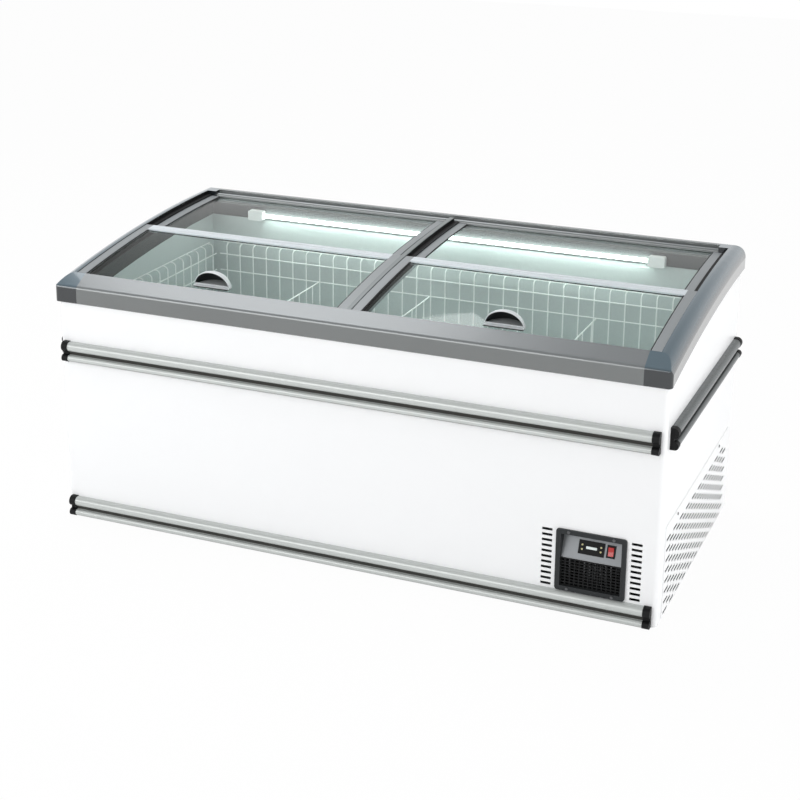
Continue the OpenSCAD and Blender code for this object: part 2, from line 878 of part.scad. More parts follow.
// Frame and tunnel round the controls and the intake grille
module control_bezel() {
    color("dimgray") difference() {
        translate([panel_x, front_y, bezel_mid_z]) rotate([90, 0, 0]) {
            linear_extrude(bezel_t) rounded_rect([bezel_w, bezel_h], 8);
            translate([0, 0, -tunnel_d]) linear_extrude(tunnel_d + 1)
                square([mouth_w + 2 * panel_t, mouth_h + 2 * panel_t], center = true);
        }
        translate([panel_x, front_y, bezel_mid_z]) rotate([90, 0, 0])
            linear_extrude(4 * tunnel_d, center = true) square([mouth_w, mouth_h], center = true);
        for (p = bezel_screws()) translate(p) rotate([-90, 0, 0])
            cylinder(r = shank_r + fit_gap, h = 4 * bezel_t, center = true);
    }
}

// Puts a part on the fascia: X to the right, Y up the slope, Z out of the face
module on_fascia() {
    translate([panel_x, fascia_y, fascia_z]) rotate([90 - fascia_tilt, 0, 0]) children();
}

module control_fascia() {
    color("silver") on_fascia() difference() {
        translate([-mouth_w / 2 + fit_gap, 0, -panel_t]) cube([mouth_w - 2 * fit_gap, fascia_h, panel_t]);
        translate([display_x, panel_mid, 0]) cube([display_w - 4, display_h - 4, 4 * panel_t], center = true);
        translate([switch_x, panel_mid, 0]) cube([switch_w - 4, switch_h - 4, 4 * panel_t], center = true);
    }
}

// Louvred grille under the fascia, with upright ribs
module intake_grille() {
    slats = 9;
    ribs = 13;
    low = mouth_z + fit_gap;
    high = fascia_z - fit_gap;
    half = mouth_w / 2 - fit_gap;
    bar = 2.4;
    y = fascia_y - panel_t;
    color([0.12, 0.12, 0.13]) {
        for (i = [0 : slats])
            box([panel_x - half, y, low + i * (high - low - bar) / slats],
                [panel_x + half, y + panel_t, low + bar + i * (high - low - bar) / slats]);
        for (i = [0 : ribs])
            box([panel_x - half + i * (2 * half - bar) / ribs, y, low],
                [panel_x - half + bar + i * (2 * half - bar) / ribs, y + panel_t, high]);
    }
}

function button_places() = [for (x = [-1, 1], y = [1, -1])
    [display_x + x * button_x, panel_mid + y * button_dy]];

// Thermostat: a face plate over the fascia's cut-out, with its case behind it
module thermostat() {
    face = 1.5;
    case_d = 16;
    color("black") on_fascia() difference() {
        union() {
            translate([display_x, panel_mid, face / 2]) cube([display_w, display_h, face], center = true);
            translate([display_x, panel_mid, face / 2 - case_d / 2])
                cube([display_w - 4 - 2 * fit_gap, display_h - 4 - 2 * fit_gap, case_d], center = true);
        }
        for (p = button_places()) translate([p[0], p[1], face + 1 - button_len - button_travel - 1])
            cylinder(r = button_r + run_gap, h = button_len + button_travel + 1);
    }
}

// A sprung push button, standing a little proud of the thermostat's face
module button(i) {
    p = button_places()[i];
    color("khaki") on_fascia() translate([p[0], p[1], 1.5 + button_out - button_len])
        cylinder(r = button_r, h = button_len);
}

module set_button() { button(0); }
module defrost_button() { button(1); }
module up_button() { button(2); }
module down_button() { button(3); }

// Power switch: a flanged frame with a round-bottomed pocket for the rocker
rocker_w = switch_w - 9;
rocker_r = switch_h / 2 - 5;
rocker_up = 0;

module switch_frame() {
    face = 2;
    color("black") on_fascia() translate([switch_x, panel_mid, 0]) difference() {
        union() {
            translate([0, 0, face / 2]) cube([switch_w, switch_h, face], center = true);
            translate([0, 0, -rocker_r / 2 - 1])
                cube([switch_w - 4 - 2 * fit_gap, switch_h - 4 - 2 * fit_gap, rocker_r + 4], center = true);
        }
        translate([0, 0, rocker_up]) rotate([0, 90, 0])
            cylinder(r = rocker_r + run_gap, h = rocker_w + 2 * run_gap, center = true);
        translate([0, 0, rocker_up]) rotate([0, 90, 0])
            cylinder(r = pin_r + shaft_gap, h = rocker_w + 2 * pin_l, center = true);
    }
}

pin_r = 1.5;
pin_l = 2;

// Rocker: a drum cut to a shallow vee, rocked to one side, turning on two stub pins
module power_rocker() {
    color("red") on_fascia() translate([switch_x, panel_mid, rocker_up]) rotate([rocker_tilt, 0, 0]) {
        difference() {
            rotate([0, 90, 0]) cylinder(r = rocker_r, h = rocker_w, center = true);
            for (side = [-1, 1]) translate([0, 0, 2.6]) rotate([side * rocker_tilt, 0, 0])
                translate([-switch_w, side > 0 ? 0 : -switch_h, 0]) cube([2 * switch_w, switch_h, switch_h]);
        }
        rotate([0, 90, 0]) cylinder(r = pin_r, h = rocker_w + 2 * pin_l - 2 * fit_gap, center = true);
    }
}

// Side vent panel over the window of the right end panel
vent_l = body_d - 2 * vent_inset;
vent_lap = 6;
vent_head = 28;
vent_low = 3;
vent_t = 1.5;

// Rows of slots, every second row shifted by half a pitch
module vent_slots() {
    margin = 13;
    rows = floor((vent_top - vent_low - vent_head - margin / 2 - slot_h) / slot_row) + 1;
    columns = floor((vent_l - 2 * margin - slot_pitch / 2 - slot_l) / slot_pitch) + 1;
    for (row = [0 : rows - 1], column = [0 : columns - 1])
        translate([-vent_l / 2 + margin + column * slot_pitch + (row % 2) * slot_pitch / 2,
                   vent_low + margin / 2 + row * slot_row])
            square([slot_l, slot_h]);
}

module vent_panel() {
    color("white") difference() {
        translate([half_l, mid_y, 0]) rotate([90, 0, 90]) linear_extrude(vent_t) difference() {
            translate([-vent_l / 2, vent_low]) square([vent_l, vent_top - vent_low]);
            vent_slots();
        }
        for (p = vent_screws()) translate(p) rotate([0, 90, 0])
            cylinder(r = shank_r + fit_gap, h = 6 * sheet_t, center = true);
    }
}

function bezel_screws() = [for (x = [-1, 1], z = [-1, 1])
    [panel_x + x * bezel_screw_x, front_y, bezel_mid_z + z * (bezel_h / 2 - bezel_border / 2 + 0.5)]];
function vent_screws() = [for (y = [-1, 1]) [half_l, mid_y + y * vent_l / 3, vent_top - vent_head / 2]];

// A pan-head screw, its head's seat at the origin, its head towards +Z
module screw() {
    cylinder(r = head_r, h = head_h);
    translate([0, 0, -shank_l]) cylinder(r = shank_r, h = shank_l + 0.5 * head_h);
}

module screws() {
    color("gray") {
        for (p = bezel_screws()) translate([p[0], p[1] - bezel_t, p[2]]) rotate([90, 0, 0]) screw();
        for (p = vent_screws()) translate([p[0] + vent_t, p[1], p[2]]) rotate([0, 90, 0]) screw();
    }
}

gland_r = 10;
gland_rise = 50;

function gland_at() = [machine_x, back_y, sheet_t + gland_rise];

// Rubber gland in the back, with a hole for the supply lead
module cable_gland() {
    flange = 3;
    color([0.15, 0.15, 0.15]) translate(gland_at()) rotate([-90, 0, 0]) difference() {
        union() {
            cylinder(r = gland_r + 5, h = flange);
            translate([0, 0, -4 * sheet_t]) cylinder(r = gland_r, h = 4 * sheet_t + 1);
            translate([0, 0, -4 * sheet_t - flange]) cylinder(r = gland_r, h = flange + 1);
        }
        cylinder(r = gland_r / 2.5, h = over, center = true);
    }
}

function grommet_places() = [for (x = [-1, 1], y = [-1, 1])
    [machine_x + x * (can_r + 0.45 * foot_over), can_y + y * can_r * 0.6]];

// Domed compressor can on a foot plate, with its terminal box
module compressor() {
    dome = 40;
    plate_t = 3;
    color([0.1, 0.1, 0.1]) difference() {
        union() {
            translate([machine_x, can_y, foot_z + plate_t - 0.5]) rotate_extrude() {
                square([can_r, can_h - dome]);
                translate([0, can_h - dome]) square([can_r - dome, dome]);
                translate([can_r - dome, can_h - dome]) intersection() {
                    circle(dome);
                    square(dome);
                }
            }
            box([machine_x - can_r - foot_over, can_y - can_r * 0.8, foot_z],
                [machine_x + can_r + foot_over, can_y + can_r * 0.8, foot_z + plate_t]);
            translate([machine_x - terminal_w / 2, can_y - can_r - terminal_d, foot_z + can_h / 4])
                cube([terminal_w, terminal_d + can_r * 0.3, terminal_h]);
        }
        for (p = grommet_places()) translate([p[0], p[1], 0]) cylinder(r = stud_r + fit_gap, h = over);
    }
}

// Rubber grommets between the foot plate and the base
module compressor_grommets() {
    color([0.2, 0.2, 0.2]) for (p = grommet_places()) translate([p[0], p[1], sheet_t]) {
        cylinder(r = 1.8 * stud_r, h = grommet_h);
        cylinder(r = stud_r, h = 1.6 * grommet_h);
    }
}

// Finned condenser block standing on the base behind the grille
module condenser() {
    low = sheet_t;
    high = bulk_z - 20;
    fin_t = 1.2;
    first = machine_x - condenser_l / 2;
    tubes = [for (y = [0.28, 0.72], z = [0.15, 0.5, 0.85])
        [condenser_y + y * condenser_d, low + z * (high - low)]];
    color("silver") {
        for (i = [0 : fin_n - 1])
            box([first + i * (condenser_l - fin_t) / (fin_n - 1), condenser_y, low],
                [first + i * (condenser_l - fin_t) / (fin_n - 1) + fin_t, condenser_y + condenser_d, high]);
        for (t = tubes) translate([first - 6, t[0], t[1]]) rotate([0, 90, 0])
            cylinder(r = 4, h = condenser_l + 12);
    }
}

// Plate and ring that guide the air, with two arms that carry the motor
module fan_shroud() {
    ring_r = fan_r + fan_tip_gap;
    high = bulk_z - 8;
    arm = 14;
    color("dimgray") {
        difference() {
            union() {
                box([machine_x - condenser_l / 2, shroud_y, sheet_t],
                    [machine_x + condenser_l / 2, shroud_y + shroud_t, high]);
                translate([machine_x, shroud_y, fan_z]) rotate([-90, 0, 0])
                    cylinder(r = ring_r + shroud_t, h = ring_d);
            }
            translate([machine_x, shroud_y - 1, fan_z]) rotate([-90, 0, 0])
                cylinder(r = ring_r, h = ring_d + 2);
        }
        difference() {
            translate([machine_x - ring_r - 1, motor_y, fan_z - arm / 2]) cube([2 * ring_r + 2, 3, arm]);
            translate([machine_x, motor_y - 1, fan_z]) rotate([-90, 0, 0]) cylinder(r = 3 * shaft_r, h = 5);
        }
        for (side = [-1, 1])
            translate([machine_x + side * (ring_r + shroud_t / 2) - shroud_t / 2, shroud_y + ring_d - 1, fan_z - arm / 2])
                cube([shroud_t, motor_y + 3 - shroud_y - ring_d + 1, arm]);
    }
}

module fan_motor() {
    color([0.25, 0.25, 0.28]) translate([machine_x, motor_y + 3, fan_z]) rotate([-90, 0, 0]) {
        cylinder(r = motor_r, h = motor_d);
        translate([0, 0, -motor_gap - 3 - hub_d + 4]) cylinder(r = shaft_r, h = motor_gap + 3 + hub_d - 3);
    }
}

// Hub with flat pitched blades; the hub's bore runs on the motor's shaft
module fan_blades() {
    blade_chord = 48;
    blade_t = 2;
    pitch = 24;
    color("gray") translate([machine_x, fan_y, fan_z]) rotate([-90, 0, 0]) difference() {
        union() {
            cylinder(r = hub_r, h = hub_d);
            intersection() {
                for (i = [0 : blade_n - 1]) rotate([0, 0, i * 360 / blade_n])
                    translate([hub_r - 3, 0, hub_d / 2]) rotate([pitch, 0, 0])
                        translate([0, -blade_chord / 2, -blade_t / 2]) cube([fan_r, blade_chord, blade_t]);
                cylinder(r = fan_r, h = hub_d);
            }
        }
        translate([0, 0, 4 - shaft_gap]) cylinder(r = shaft_r + shaft_gap, h = hub_d);
    }
}

tube_l = body_l - 2 * lamp_inset;
// Gap from the lamp holders up to the lower ledge
lamp_gap = 15;
lamp_z = arch_height(tank_back, lower_w) - holder_h - lamp_gap;
lamp_y = tank_back - collar_t - holder_d / 2;

// Two end holders on the collar's back band
module lamp_holders() {
    color("white") for (side = [-1, 1])
        translate([side * (tube_l / 2 + holder_l / 2), lamp_y, lamp_z + holder_h / 2])
            rotate([90, 0, 0]) linear_extrude(holder_d, center = true) rounded_rect([holder_l, holder_h], 5);
}

module lamp_tube() {
    color("ivory") translate([-tube_l / 2, lamp_y, lamp_z + holder_h / 2]) rotate([0, 90, 0])
        cylinder(r = tube_r, h = tube_l);
}

// Floor height under a wire at x
function floor_at(x) = x + wire_d > step_x ? step_z : floor_z;

// Side view of an upright wire: X points to the wall, the hooked top reaches over to it
module wire_outline(low) {
    miter = wire_d * (sqrt(2) - 1);
    polygon([
        [0, low], [0, grid_top - hook_bend], [hook_bend, grid_top], [hook_l, grid_top],
        [hook_l, grid_top - wire_d], [hook_bend + miter, grid_top - wire_d],
        [wire_d, grid_top - hook_bend - miter], [wire_d, low]
    ]);
}

function upright_places(half) = let (n = floor(2 * half / wire_pitch))
    [for (i = [0 : n]) -n * wire_pitch / 2 + i * wire_pitch];
// Heights of a grid's long wires: two near its top and one at its foot
function long_wire_levels(low) = [upper_wire_z, upper_wire_z - long_wire_gap, low + wire_d];

// Grid along X; its wall is towards +Y, lifted over the step at the right
module long_grid() {
    half = side_grid_x - 3 * wire_d;
    for (x = upright_places(half))
        translate([x - wire_d / 2, 0, 0]) rotate([90, 0, 90]) linear_extrude(wire_d) wire_outline(floor_at(x));
    for (z = long_wire_levels(floor_z)) {
        right = z > step_z ? half : step_x - wire_d;
        box([-half, weld - wire_d, z], [right, weld, z + wire_d]);
    }
    box([-half, hook_l - wire_d, grid_top - wire_d], [half, hook_l, grid_top]);
}

module back_grid() {
    color("white") translate([0, back_grid_y, 0]) long_grid();
}

module front_grid() {
    color("white") translate([0, front_grid_y, 0]) mirror([0, 1, 0]) long_grid();
}

// Grid along Y at an end of the tank; its wall is towards +X
module end_grid(low) {
    half = (back_grid_y - front_grid_y) / 2 - 2 * wire_d;
    for (y = upright_places(half - wire_d))
        translate([0, y + wire_d / 2, 0]) rotate([90, 0, 0]) linear_extrude(wire_d) wire_outline(low);
    for (z = long_wire_levels(low)) box([weld - wire_d, -half, z], [weld, half, z + wire_d]);
    box([hook_l - wire_d, -half, grid_top - wire_d], [hook_l, half, grid_top]);
}

module left_grid() {
    color("white") translate([-side_grid_x, mid_y, 0]) mirror([1, 0, 0]) end_grid(floor_z);
}

module right_grid() {
    color("white") translate([side_grid_x, mid_y, 0]) end_grid(step_z);
}

// Where the dividers stand along the tank
function divider_places() = [
    left_divider * 2 * tank_x,
    centre_divider * 2 * tank_x,
    step_x - right_divider_gap];

// Three dividers stand across the tank between the long grids
module dividers() {
    half = (back_grid_y - front_grid_y) / 2 - wire_d - 0.5;
    top = upper_wire_z - long_wire_gap + wire_d;
    pitch = 2 * wire_pitch;
    n = floor(2 * (half - wire_d) / pitch);
    color("white") for (x = divider_places()) translate([x, mid_y, 0]) {
        for (i = [0 : n])
            translate([-wire_d / 2, -n * pitch / 2 + i * pitch - wire_d / 2, floor_z])
                cube([wire_d, wire_d, top - floor_z]);
        for (z = [floor_z + wire_d, (floor_z + top) / 2, top - wire_d])
            box([-wire_d / 2, -half, z], [wire_d / 2, half, z + wire_d]);
    }
}

front_panel();
rear_panel();
left_end_panel();
right_end_panel();
base_plate();
inner_tank();
insulation_foam();
evaporator_coil();
machine_bulkhead();
collar();
front_rail();
rear_rail();
left_end_rail();
right_end_rail();
mullion();
track_liners();
front_left_glass();
front_left_strips();
front_left_crossbar();
front_left_handle();
front_right_glass();
front_right_strips();
front_right_crossbar();
front_right_handle();
rear_left_glass();
rear_left_strips();
rear_right_glass();
rear_right_strips();
upper_front_bumper();
lower_front_bumper();
left_bumper();
right_bumper();
bumper_end_caps();
control_bezel();
control_fascia();
intake_grille();
thermostat();
set_button();
defrost_button();
up_button();
down_button();
switch_frame();
power_rocker();
vent_panel();
screws();
cable_gland();
compressor();
compressor_grommets();
condenser();
fan_shroud();
fan_motor();
fan_blades();
lamp_holders();
lamp_tube();
back_grid();
front_grid();
left_grid();
right_grid();
dividers();
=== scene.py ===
# %% [markdown]
# # A chest freezer with sliding glass lids
# The measured solids come in first and stay where they are: every finish, wire and lamp below is fitted to
# them.

# %% load the measured solids
import json
import math

import bpy
from mathutils import Matrix, Vector


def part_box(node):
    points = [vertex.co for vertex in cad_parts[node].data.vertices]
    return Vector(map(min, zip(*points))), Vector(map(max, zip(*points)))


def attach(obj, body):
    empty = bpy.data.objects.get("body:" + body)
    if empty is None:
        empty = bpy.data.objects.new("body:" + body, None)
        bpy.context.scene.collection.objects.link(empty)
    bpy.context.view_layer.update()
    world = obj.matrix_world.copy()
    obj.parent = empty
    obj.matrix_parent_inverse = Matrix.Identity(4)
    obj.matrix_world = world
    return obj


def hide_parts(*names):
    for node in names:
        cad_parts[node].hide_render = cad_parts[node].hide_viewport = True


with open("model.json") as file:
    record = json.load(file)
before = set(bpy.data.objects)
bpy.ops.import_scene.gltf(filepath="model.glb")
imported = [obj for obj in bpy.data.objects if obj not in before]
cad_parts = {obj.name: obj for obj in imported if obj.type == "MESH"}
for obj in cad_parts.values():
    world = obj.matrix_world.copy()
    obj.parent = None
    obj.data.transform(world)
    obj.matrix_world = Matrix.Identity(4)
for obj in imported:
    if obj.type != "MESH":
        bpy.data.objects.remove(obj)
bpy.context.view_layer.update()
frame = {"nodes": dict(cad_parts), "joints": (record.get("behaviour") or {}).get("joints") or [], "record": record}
nodes = frame["nodes"]
slot_of = {row["node"]: row["material_slot"] for row in frame["record"]["subparts"]}
mm = 0.001

# %% [markdown]
# ## Colours and small node helpers
# Colours are easiest to judge as they are read off a screen, from 0 to 255, but shaders work in linear
# light. One small function turns the first into the second. The other helpers place a node with its
# settings and join two sockets, so that each finish below reads as a short recipe.


# %% colour and node helpers
def tone(red, green, blue):
    """A screen colour as the linear colour that a shader takes."""
    def linear(value):
        value = value / 255
        return value / 12.92 if value <= 0.04045 else ((value + 0.055) / 1.055) ** 2.4
    return (linear(red), linear(green), linear(blue), 1.0)


def place(tree, kind, **settings):
    """A new node; a setting named after a socket fills that socket, any other one is set on the node."""
    new_node = tree.nodes.new(kind)
    for name, value in settings.items():
        socket = new_node.inputs.get(name.replace("_", " ").title())
        if socket is not None:
            socket.default_value = value
        else:
            setattr(new_node, name, value)
    return new_node


def join(tree, out_socket, in_socket):
    tree.links.new(out_socket, in_socket)


def new_group(name, inputs, outputs):
    """An empty shader node group with named sockets, and its input and output nodes."""
    group = bpy.data.node_groups.new(name, "ShaderNodeTree")
    for label, kind, start in inputs:
        socket = group.interface.new_socket(label, in_out="INPUT", socket_type="NodeSocket" + kind)
        socket.default_value = start
    for label, kind in outputs:
        group.interface.new_socket(label, in_out="OUTPUT", socket_type="NodeSocket" + kind)
    return group, group.nodes.new("NodeGroupInput"), group.nodes.new("NodeGroupOutput")


def spread_between(tree, value, low, high):
    """Maps a 0 to 1 value onto a range whose ends are numbers or sockets."""
    ranged = place(tree, "ShaderNodeMapRange")
    join(tree, value, ranged.inputs["Value"])
    for end, label in ((low, "To Min"), (high, "To Max")):
        if isinstance(end, (int, float)):
            ranged.inputs[label].default_value = end
        else:
            join(tree, end, ranged.inputs[label])
    return ranged.outputs["Result"]


print("helpers ready; a mid grey is", [round(v, 3) for v in tone(128, 128, 128)])

# %% [markdown]
# ## Effect: a tone that drifts
# No sheet, moulding or casting has one exact colour all over. A slow noise, read in the part's own
# coordinates, makes the colour a little lighter and darker. The same group serves every finish, with its
# own scale and amount.

# %% drifting tone
drifting_tone, start, end = new_group(
    "drifting_tone",
    [("Colour", "Color", (0.8, 0.8, 0.8, 1)), ("Scale", "Float", 3.0), ("Drift", "Float", 0.04)],
    [("Colour", "Color")])
place_in = place(drifting_tone, "ShaderNodeTexCoord")
cloud = place(drifting_tone, "ShaderNodeTexNoise", detail=4.0, roughness=0.6)
join(drifting_tone, place_in.outputs["Object"], cloud.inputs["Vector"])
join(drifting_tone, start.outputs["Scale"], cloud.inputs["Scale"])
darkest = place(drifting_tone, "ShaderNodeMath", operation="SUBTRACT")
darkest.inputs[0].default_value = 1.0
join(drifting_tone, start.outputs["Drift"], darkest.inputs[1])
lightest = place(drifting_tone, "ShaderNodeMath", operation="ADD")
lightest.inputs[0].default_value = 1.0
join(drifting_tone, start.outputs["Drift"], lightest.inputs[1])
shade = place(drifting_tone, "ShaderNodeVectorMath", operation="SCALE")
join(drifting_tone, start.outputs["Colour"], shade.inputs[0])
brightness = spread_between(drifting_tone, cloud.outputs["Fac"], darkest.outputs[0], lightest.outputs[0])
join(drifting_tone, brightness, shade.inputs["Scale"])
join(drifting_tone, shade.outputs[0], end.inputs["Colour"])
print("effect:", drifting_tone.name)

# %% [markdown]
# ## Effect: a skin's grain
# Moulded plastic has a fine pebbled skin, and paint has a soft orange peel. Both are a noise at a small
# scale that feeds a bump and makes the gloss uneven. A second, larger noise adds the smears that handling
# leaves in the gloss.

# %% skin grain
skin_grain, start, end = new_group(
    "skin_grain",
    [("Scale", "Float", 900.0), ("Dullest", "Float", 0.5), ("Glossiest", "Float", 0.35)],
    [("Height", "Float"), ("Roughness", "Float")])
place_in = place(skin_grain, "ShaderNodeTexCoord")
pebbles = place(skin_grain, "ShaderNodeTexNoise", detail=3.0, roughness=0.55)
smears = place(skin_grain, "ShaderNodeTexNoise", scale=14.0, detail=5.0, roughness=0.65)
join(skin_grain, place_in.outputs["Object"], pebbles.inputs["Vector"])
join(skin_grain, place_in.outputs["Object"], smears.inputs["Vector"])
join(skin_grain, start.outputs["Scale"], pebbles.inputs["Scale"])
both = place(skin_grain, "ShaderNodeMath", operation="MULTIPLY_ADD")
both.inputs[1].default_value = 0.35
join(skin_grain, pebbles.outputs["Fac"], both.inputs[0])
smear_part = spread_between(skin_grain, smears.outputs["Fac"], 0.0, 0.65)
join(skin_grain, smear_part, both.inputs[2])
join(skin_grain, pebbles.outputs["Fac"], end.inputs["Height"])
gloss_range = (start.outputs["Glossiest"], start.outputs["Dullest"])
join(skin_grain, spread_between(skin_grain, both.outputs[0], *gloss_range), end.inputs["Roughness"])
print("effect:", skin_grain.name)

# %% [markdown]
# ## Effect: lines drawn along a length
# A rail that was pushed through a die, or a sheet that was brushed, carries fine lines along its length. A
# noise whose coordinates are squeezed along one axis gives them, both as faint ridges and as bands in the
# gloss.

# %% drawn lines
drawn_lines, start, end = new_group(
    "drawn_lines",
    [("Squeeze", "Vector", (0.01, 1.0, 1.0)), ("Scale", "Float", 400.0),
     ("Dullest", "Float", 0.45), ("Glossiest", "Float", 0.3)],
    [("Height", "Float"), ("Roughness", "Float")])
place_in = place(drawn_lines, "ShaderNodeTexCoord")
squeezed = place(drawn_lines, "ShaderNodeVectorMath", operation="MULTIPLY")
join(drawn_lines, place_in.outputs["Object"], squeezed.inputs[0])
join(drawn_lines, start.outputs["Squeeze"], squeezed.inputs[1])
lines = place(drawn_lines, "ShaderNodeTexNoise", detail=4.0, roughness=0.7)
join(drawn_lines, squeezed.outputs[0], lines.inputs["Vector"])
join(drawn_lines, start.outputs["Scale"], lines.inputs["Scale"])
join(drawn_lines, lines.outputs["Fac"], end.inputs["Height"])
gloss_range = (start.outputs["Glossiest"], start.outputs["Dullest"])
join(drawn_lines, spread_between(drawn_lines, lines.outputs["Fac"], *gloss_range), end.inputs["Roughness"])
print("effect:", drawn_lines.name)

# %% [markdown]
# ## Effect: worn or lit edges
# Corners that hands, trolleys and cloths touch go paler, and on the lid strips the same paler edges are a
# painted highlight. A bevel node looks round a corner: where the rounded normal turns away from the real
# one, there is an edge. That difference, broken up by a noise, mixes in the paler colour.

# %% worn or lit edges
worn_or_lit_edges, start, end = new_group(
    "worn_or_lit_edges",
    [("Colour", "Color", (0.2, 0.2, 0.2, 1)), ("Rubbed", "Color", (0.5, 0.5, 0.5, 1)),
     ("Amount", "Float", 0.5)],
    [("Colour", "Color")])
rounded = place(worn_or_lit_edges, "ShaderNodeBevel", samples=4, radius=0.0022)
faced = place(worn_or_lit_edges, "ShaderNodeNewGeometry")
agree = place(worn_or_lit_edges, "ShaderNodeVectorMath", operation="DOT_PRODUCT")
join(worn_or_lit_edges, rounded.outputs["Normal"], agree.inputs[0])
join(worn_or_lit_edges, faced.outputs["Normal"], agree.inputs[1])
corner = place(worn_or_lit_edges, "ShaderNodeMapRange")
corner.inputs["From Min"].default_value = 0.99
corner.inputs["From Max"].default_value = 0.75
join(worn_or_lit_edges, agree.outputs["Value"], corner.inputs["Value"])
place_in = place(worn_or_lit_edges, "ShaderNodeTexCoord")
patches = place(worn_or_lit_edges, "ShaderNodeTexNoise", scale=60.0, detail=4.0)
join(worn_or_lit_edges, place_in.outputs["Object"], patches.inputs["Vector"])
broken = place(worn_or_lit_edges, "ShaderNodeMath", operation="MULTIPLY")
join(worn_or_lit_edges, corner.outputs["Result"], broken.inputs[0])
join(worn_or_lit_edges, patches.outputs["Fac"], broken.inputs[1])
share = place(worn_or_lit_edges, "ShaderNodeMath", operation="MULTIPLY", use_clamp=True)
join(worn_or_lit_edges, broken.outputs[0], share.inputs[0])
join(worn_or_lit_edges, start.outputs["Amount"], share.inputs[1])
edge_paled = place(worn_or_lit_edges, "ShaderNodeMix", data_type="RGBA")
join(worn_or_lit_edges, share.outputs[0], edge_paled.inputs["Factor"])
join(worn_or_lit_edges, start.outputs["Colour"], edge_paled.inputs[6])
join(worn_or_lit_edges, start.outputs["Rubbed"], edge_paled.inputs[7])
join(worn_or_lit_edges, edge_paled.outputs[2], end.inputs["Colour"])
print("effect:", worn_or_lit_edges.name)

# %% [markdown]
# ## Effect: painted light on tops
# Painted light: what faces up takes a paler colour than its side, standing in for the light that falls on the
# top of a rail. The upward part of the surface's direction blends between two colours, softly round a shoulder.

# %% painted light on tops
painted_light_tops, start, end = new_group(
    "painted_light_tops",
    [("Colour", "Color", (0.3, 0.3, 0.3, 1)), ("Tops", "Color", (0.5, 0.5, 0.5, 1))],
    [("Colour", "Color")])
faced = place(painted_light_tops, "ShaderNodeNewGeometry")
directions = place(painted_light_tops, "ShaderNodeSeparateXYZ")
join(painted_light_tops, faced.outputs["Normal"], directions.inputs[0])
# painted light: the more a face looks up, the more of the paler lit colour it takes
upward = place(painted_light_tops, "ShaderNodeMapRange", interpolation_type="SMOOTHSTEP")
upward.inputs["From Min"].default_value = 0.1
upward.inputs["From Max"].default_value = 0.9
join(painted_light_tops, directions.outputs["Z"], upward.inputs["Value"])
lit_top_blend = place(painted_light_tops, "ShaderNodeMix", data_type="RGBA")
join(painted_light_tops, upward.outputs["Result"], lit_top_blend.inputs["Factor"])
join(painted_light_tops, start.outputs["Colour"], lit_top_blend.inputs[6])
join(painted_light_tops, start.outputs["Tops"], lit_top_blend.inputs[7])
join(painted_light_tops, lit_top_blend.outputs[2], end.inputs["Colour"])
print("effect:", painted_light_tops.name)

# %% [markdown]
# ## Effect: stucco sheet
# The tank is lined with a sheet that is embossed with small random dimples, which hides scratches and
# breaks up glare. Voronoi cells of about a centimetre, softened and mixed with a noise, have that crinkled
# look.

# %% stucco sheet
stucco_sheet, start, end = new_group(
    "stucco_sheet",
    [("Scale", "Float", 130.0)],
    [("Height", "Float"), ("Roughness", "Float"), ("Shade", "Float")])
place_in = place(stucco_sheet, "ShaderNodeTexCoord")
dimples = place(stucco_sheet, "ShaderNodeTexVoronoi", feature="SMOOTH_F1", smoothness=0.6)
crinkle = place(stucco_sheet, "ShaderNodeTexNoise", detail=3.0, roughness=0.6)
for texture in (dimples, crinkle):
    join(stucco_sheet, place_in.outputs["Object"], texture.inputs["Vector"])
    join(stucco_sheet, start.outputs["Scale"], texture.inputs["Scale"])
embossed = place(stucco_sheet, "ShaderNodeMath", operation="ADD")
join(stucco_sheet, dimples.outputs["Distance"], embossed.inputs[0])
join(stucco_sheet, crinkle.outputs["Fac"], embossed.inputs[1])
join(stucco_sheet, embossed.outputs[0], end.inputs["Height"])
join(stucco_sheet, spread_between(stucco_sheet, crinkle.outputs["Fac"], 0.3, 0.5), end.inputs["Roughness"])
join(stucco_sheet, spread_between(stucco_sheet, dimples.outputs["Distance"], 1.0, 0.93), end.inputs["Shade"])
print("effect:", stucco_sheet.name)

# %% [markdown]
# ## Making a finish
# Most finishes are the same recipe: a drifting colour, painted light on tops where a finish asks for it, paler
# edges (wear, and a painted highlight on the lid strips), an uneven gloss, and a bump from either a grain or
# drawn lines. One function follows it. What stays the same all over a surface, such as metalness or a clear
# coat, is set on the shader itself.


# %% finish recipe
def grouped(tree, group, **values):
    """Places a shared effect in a material, with its own values."""
    used = tree.nodes.new("ShaderNodeGroup")
    used.node_tree = group
    for label, value in values.items():
        used.inputs[label].default_value = value
    return used


def bumped(tree, height, strength, distance):
    bump = place(tree, "ShaderNodeBump", strength=strength, distance=distance)
    join(tree, height, bump.inputs["Height"])
    return bump.outputs["Normal"]


def new_material(name):
    material = bpy.data.materials.new(name)
    material.use_nodes = True
    return material, material.node_tree, material.node_tree.nodes["Principled BSDF"]


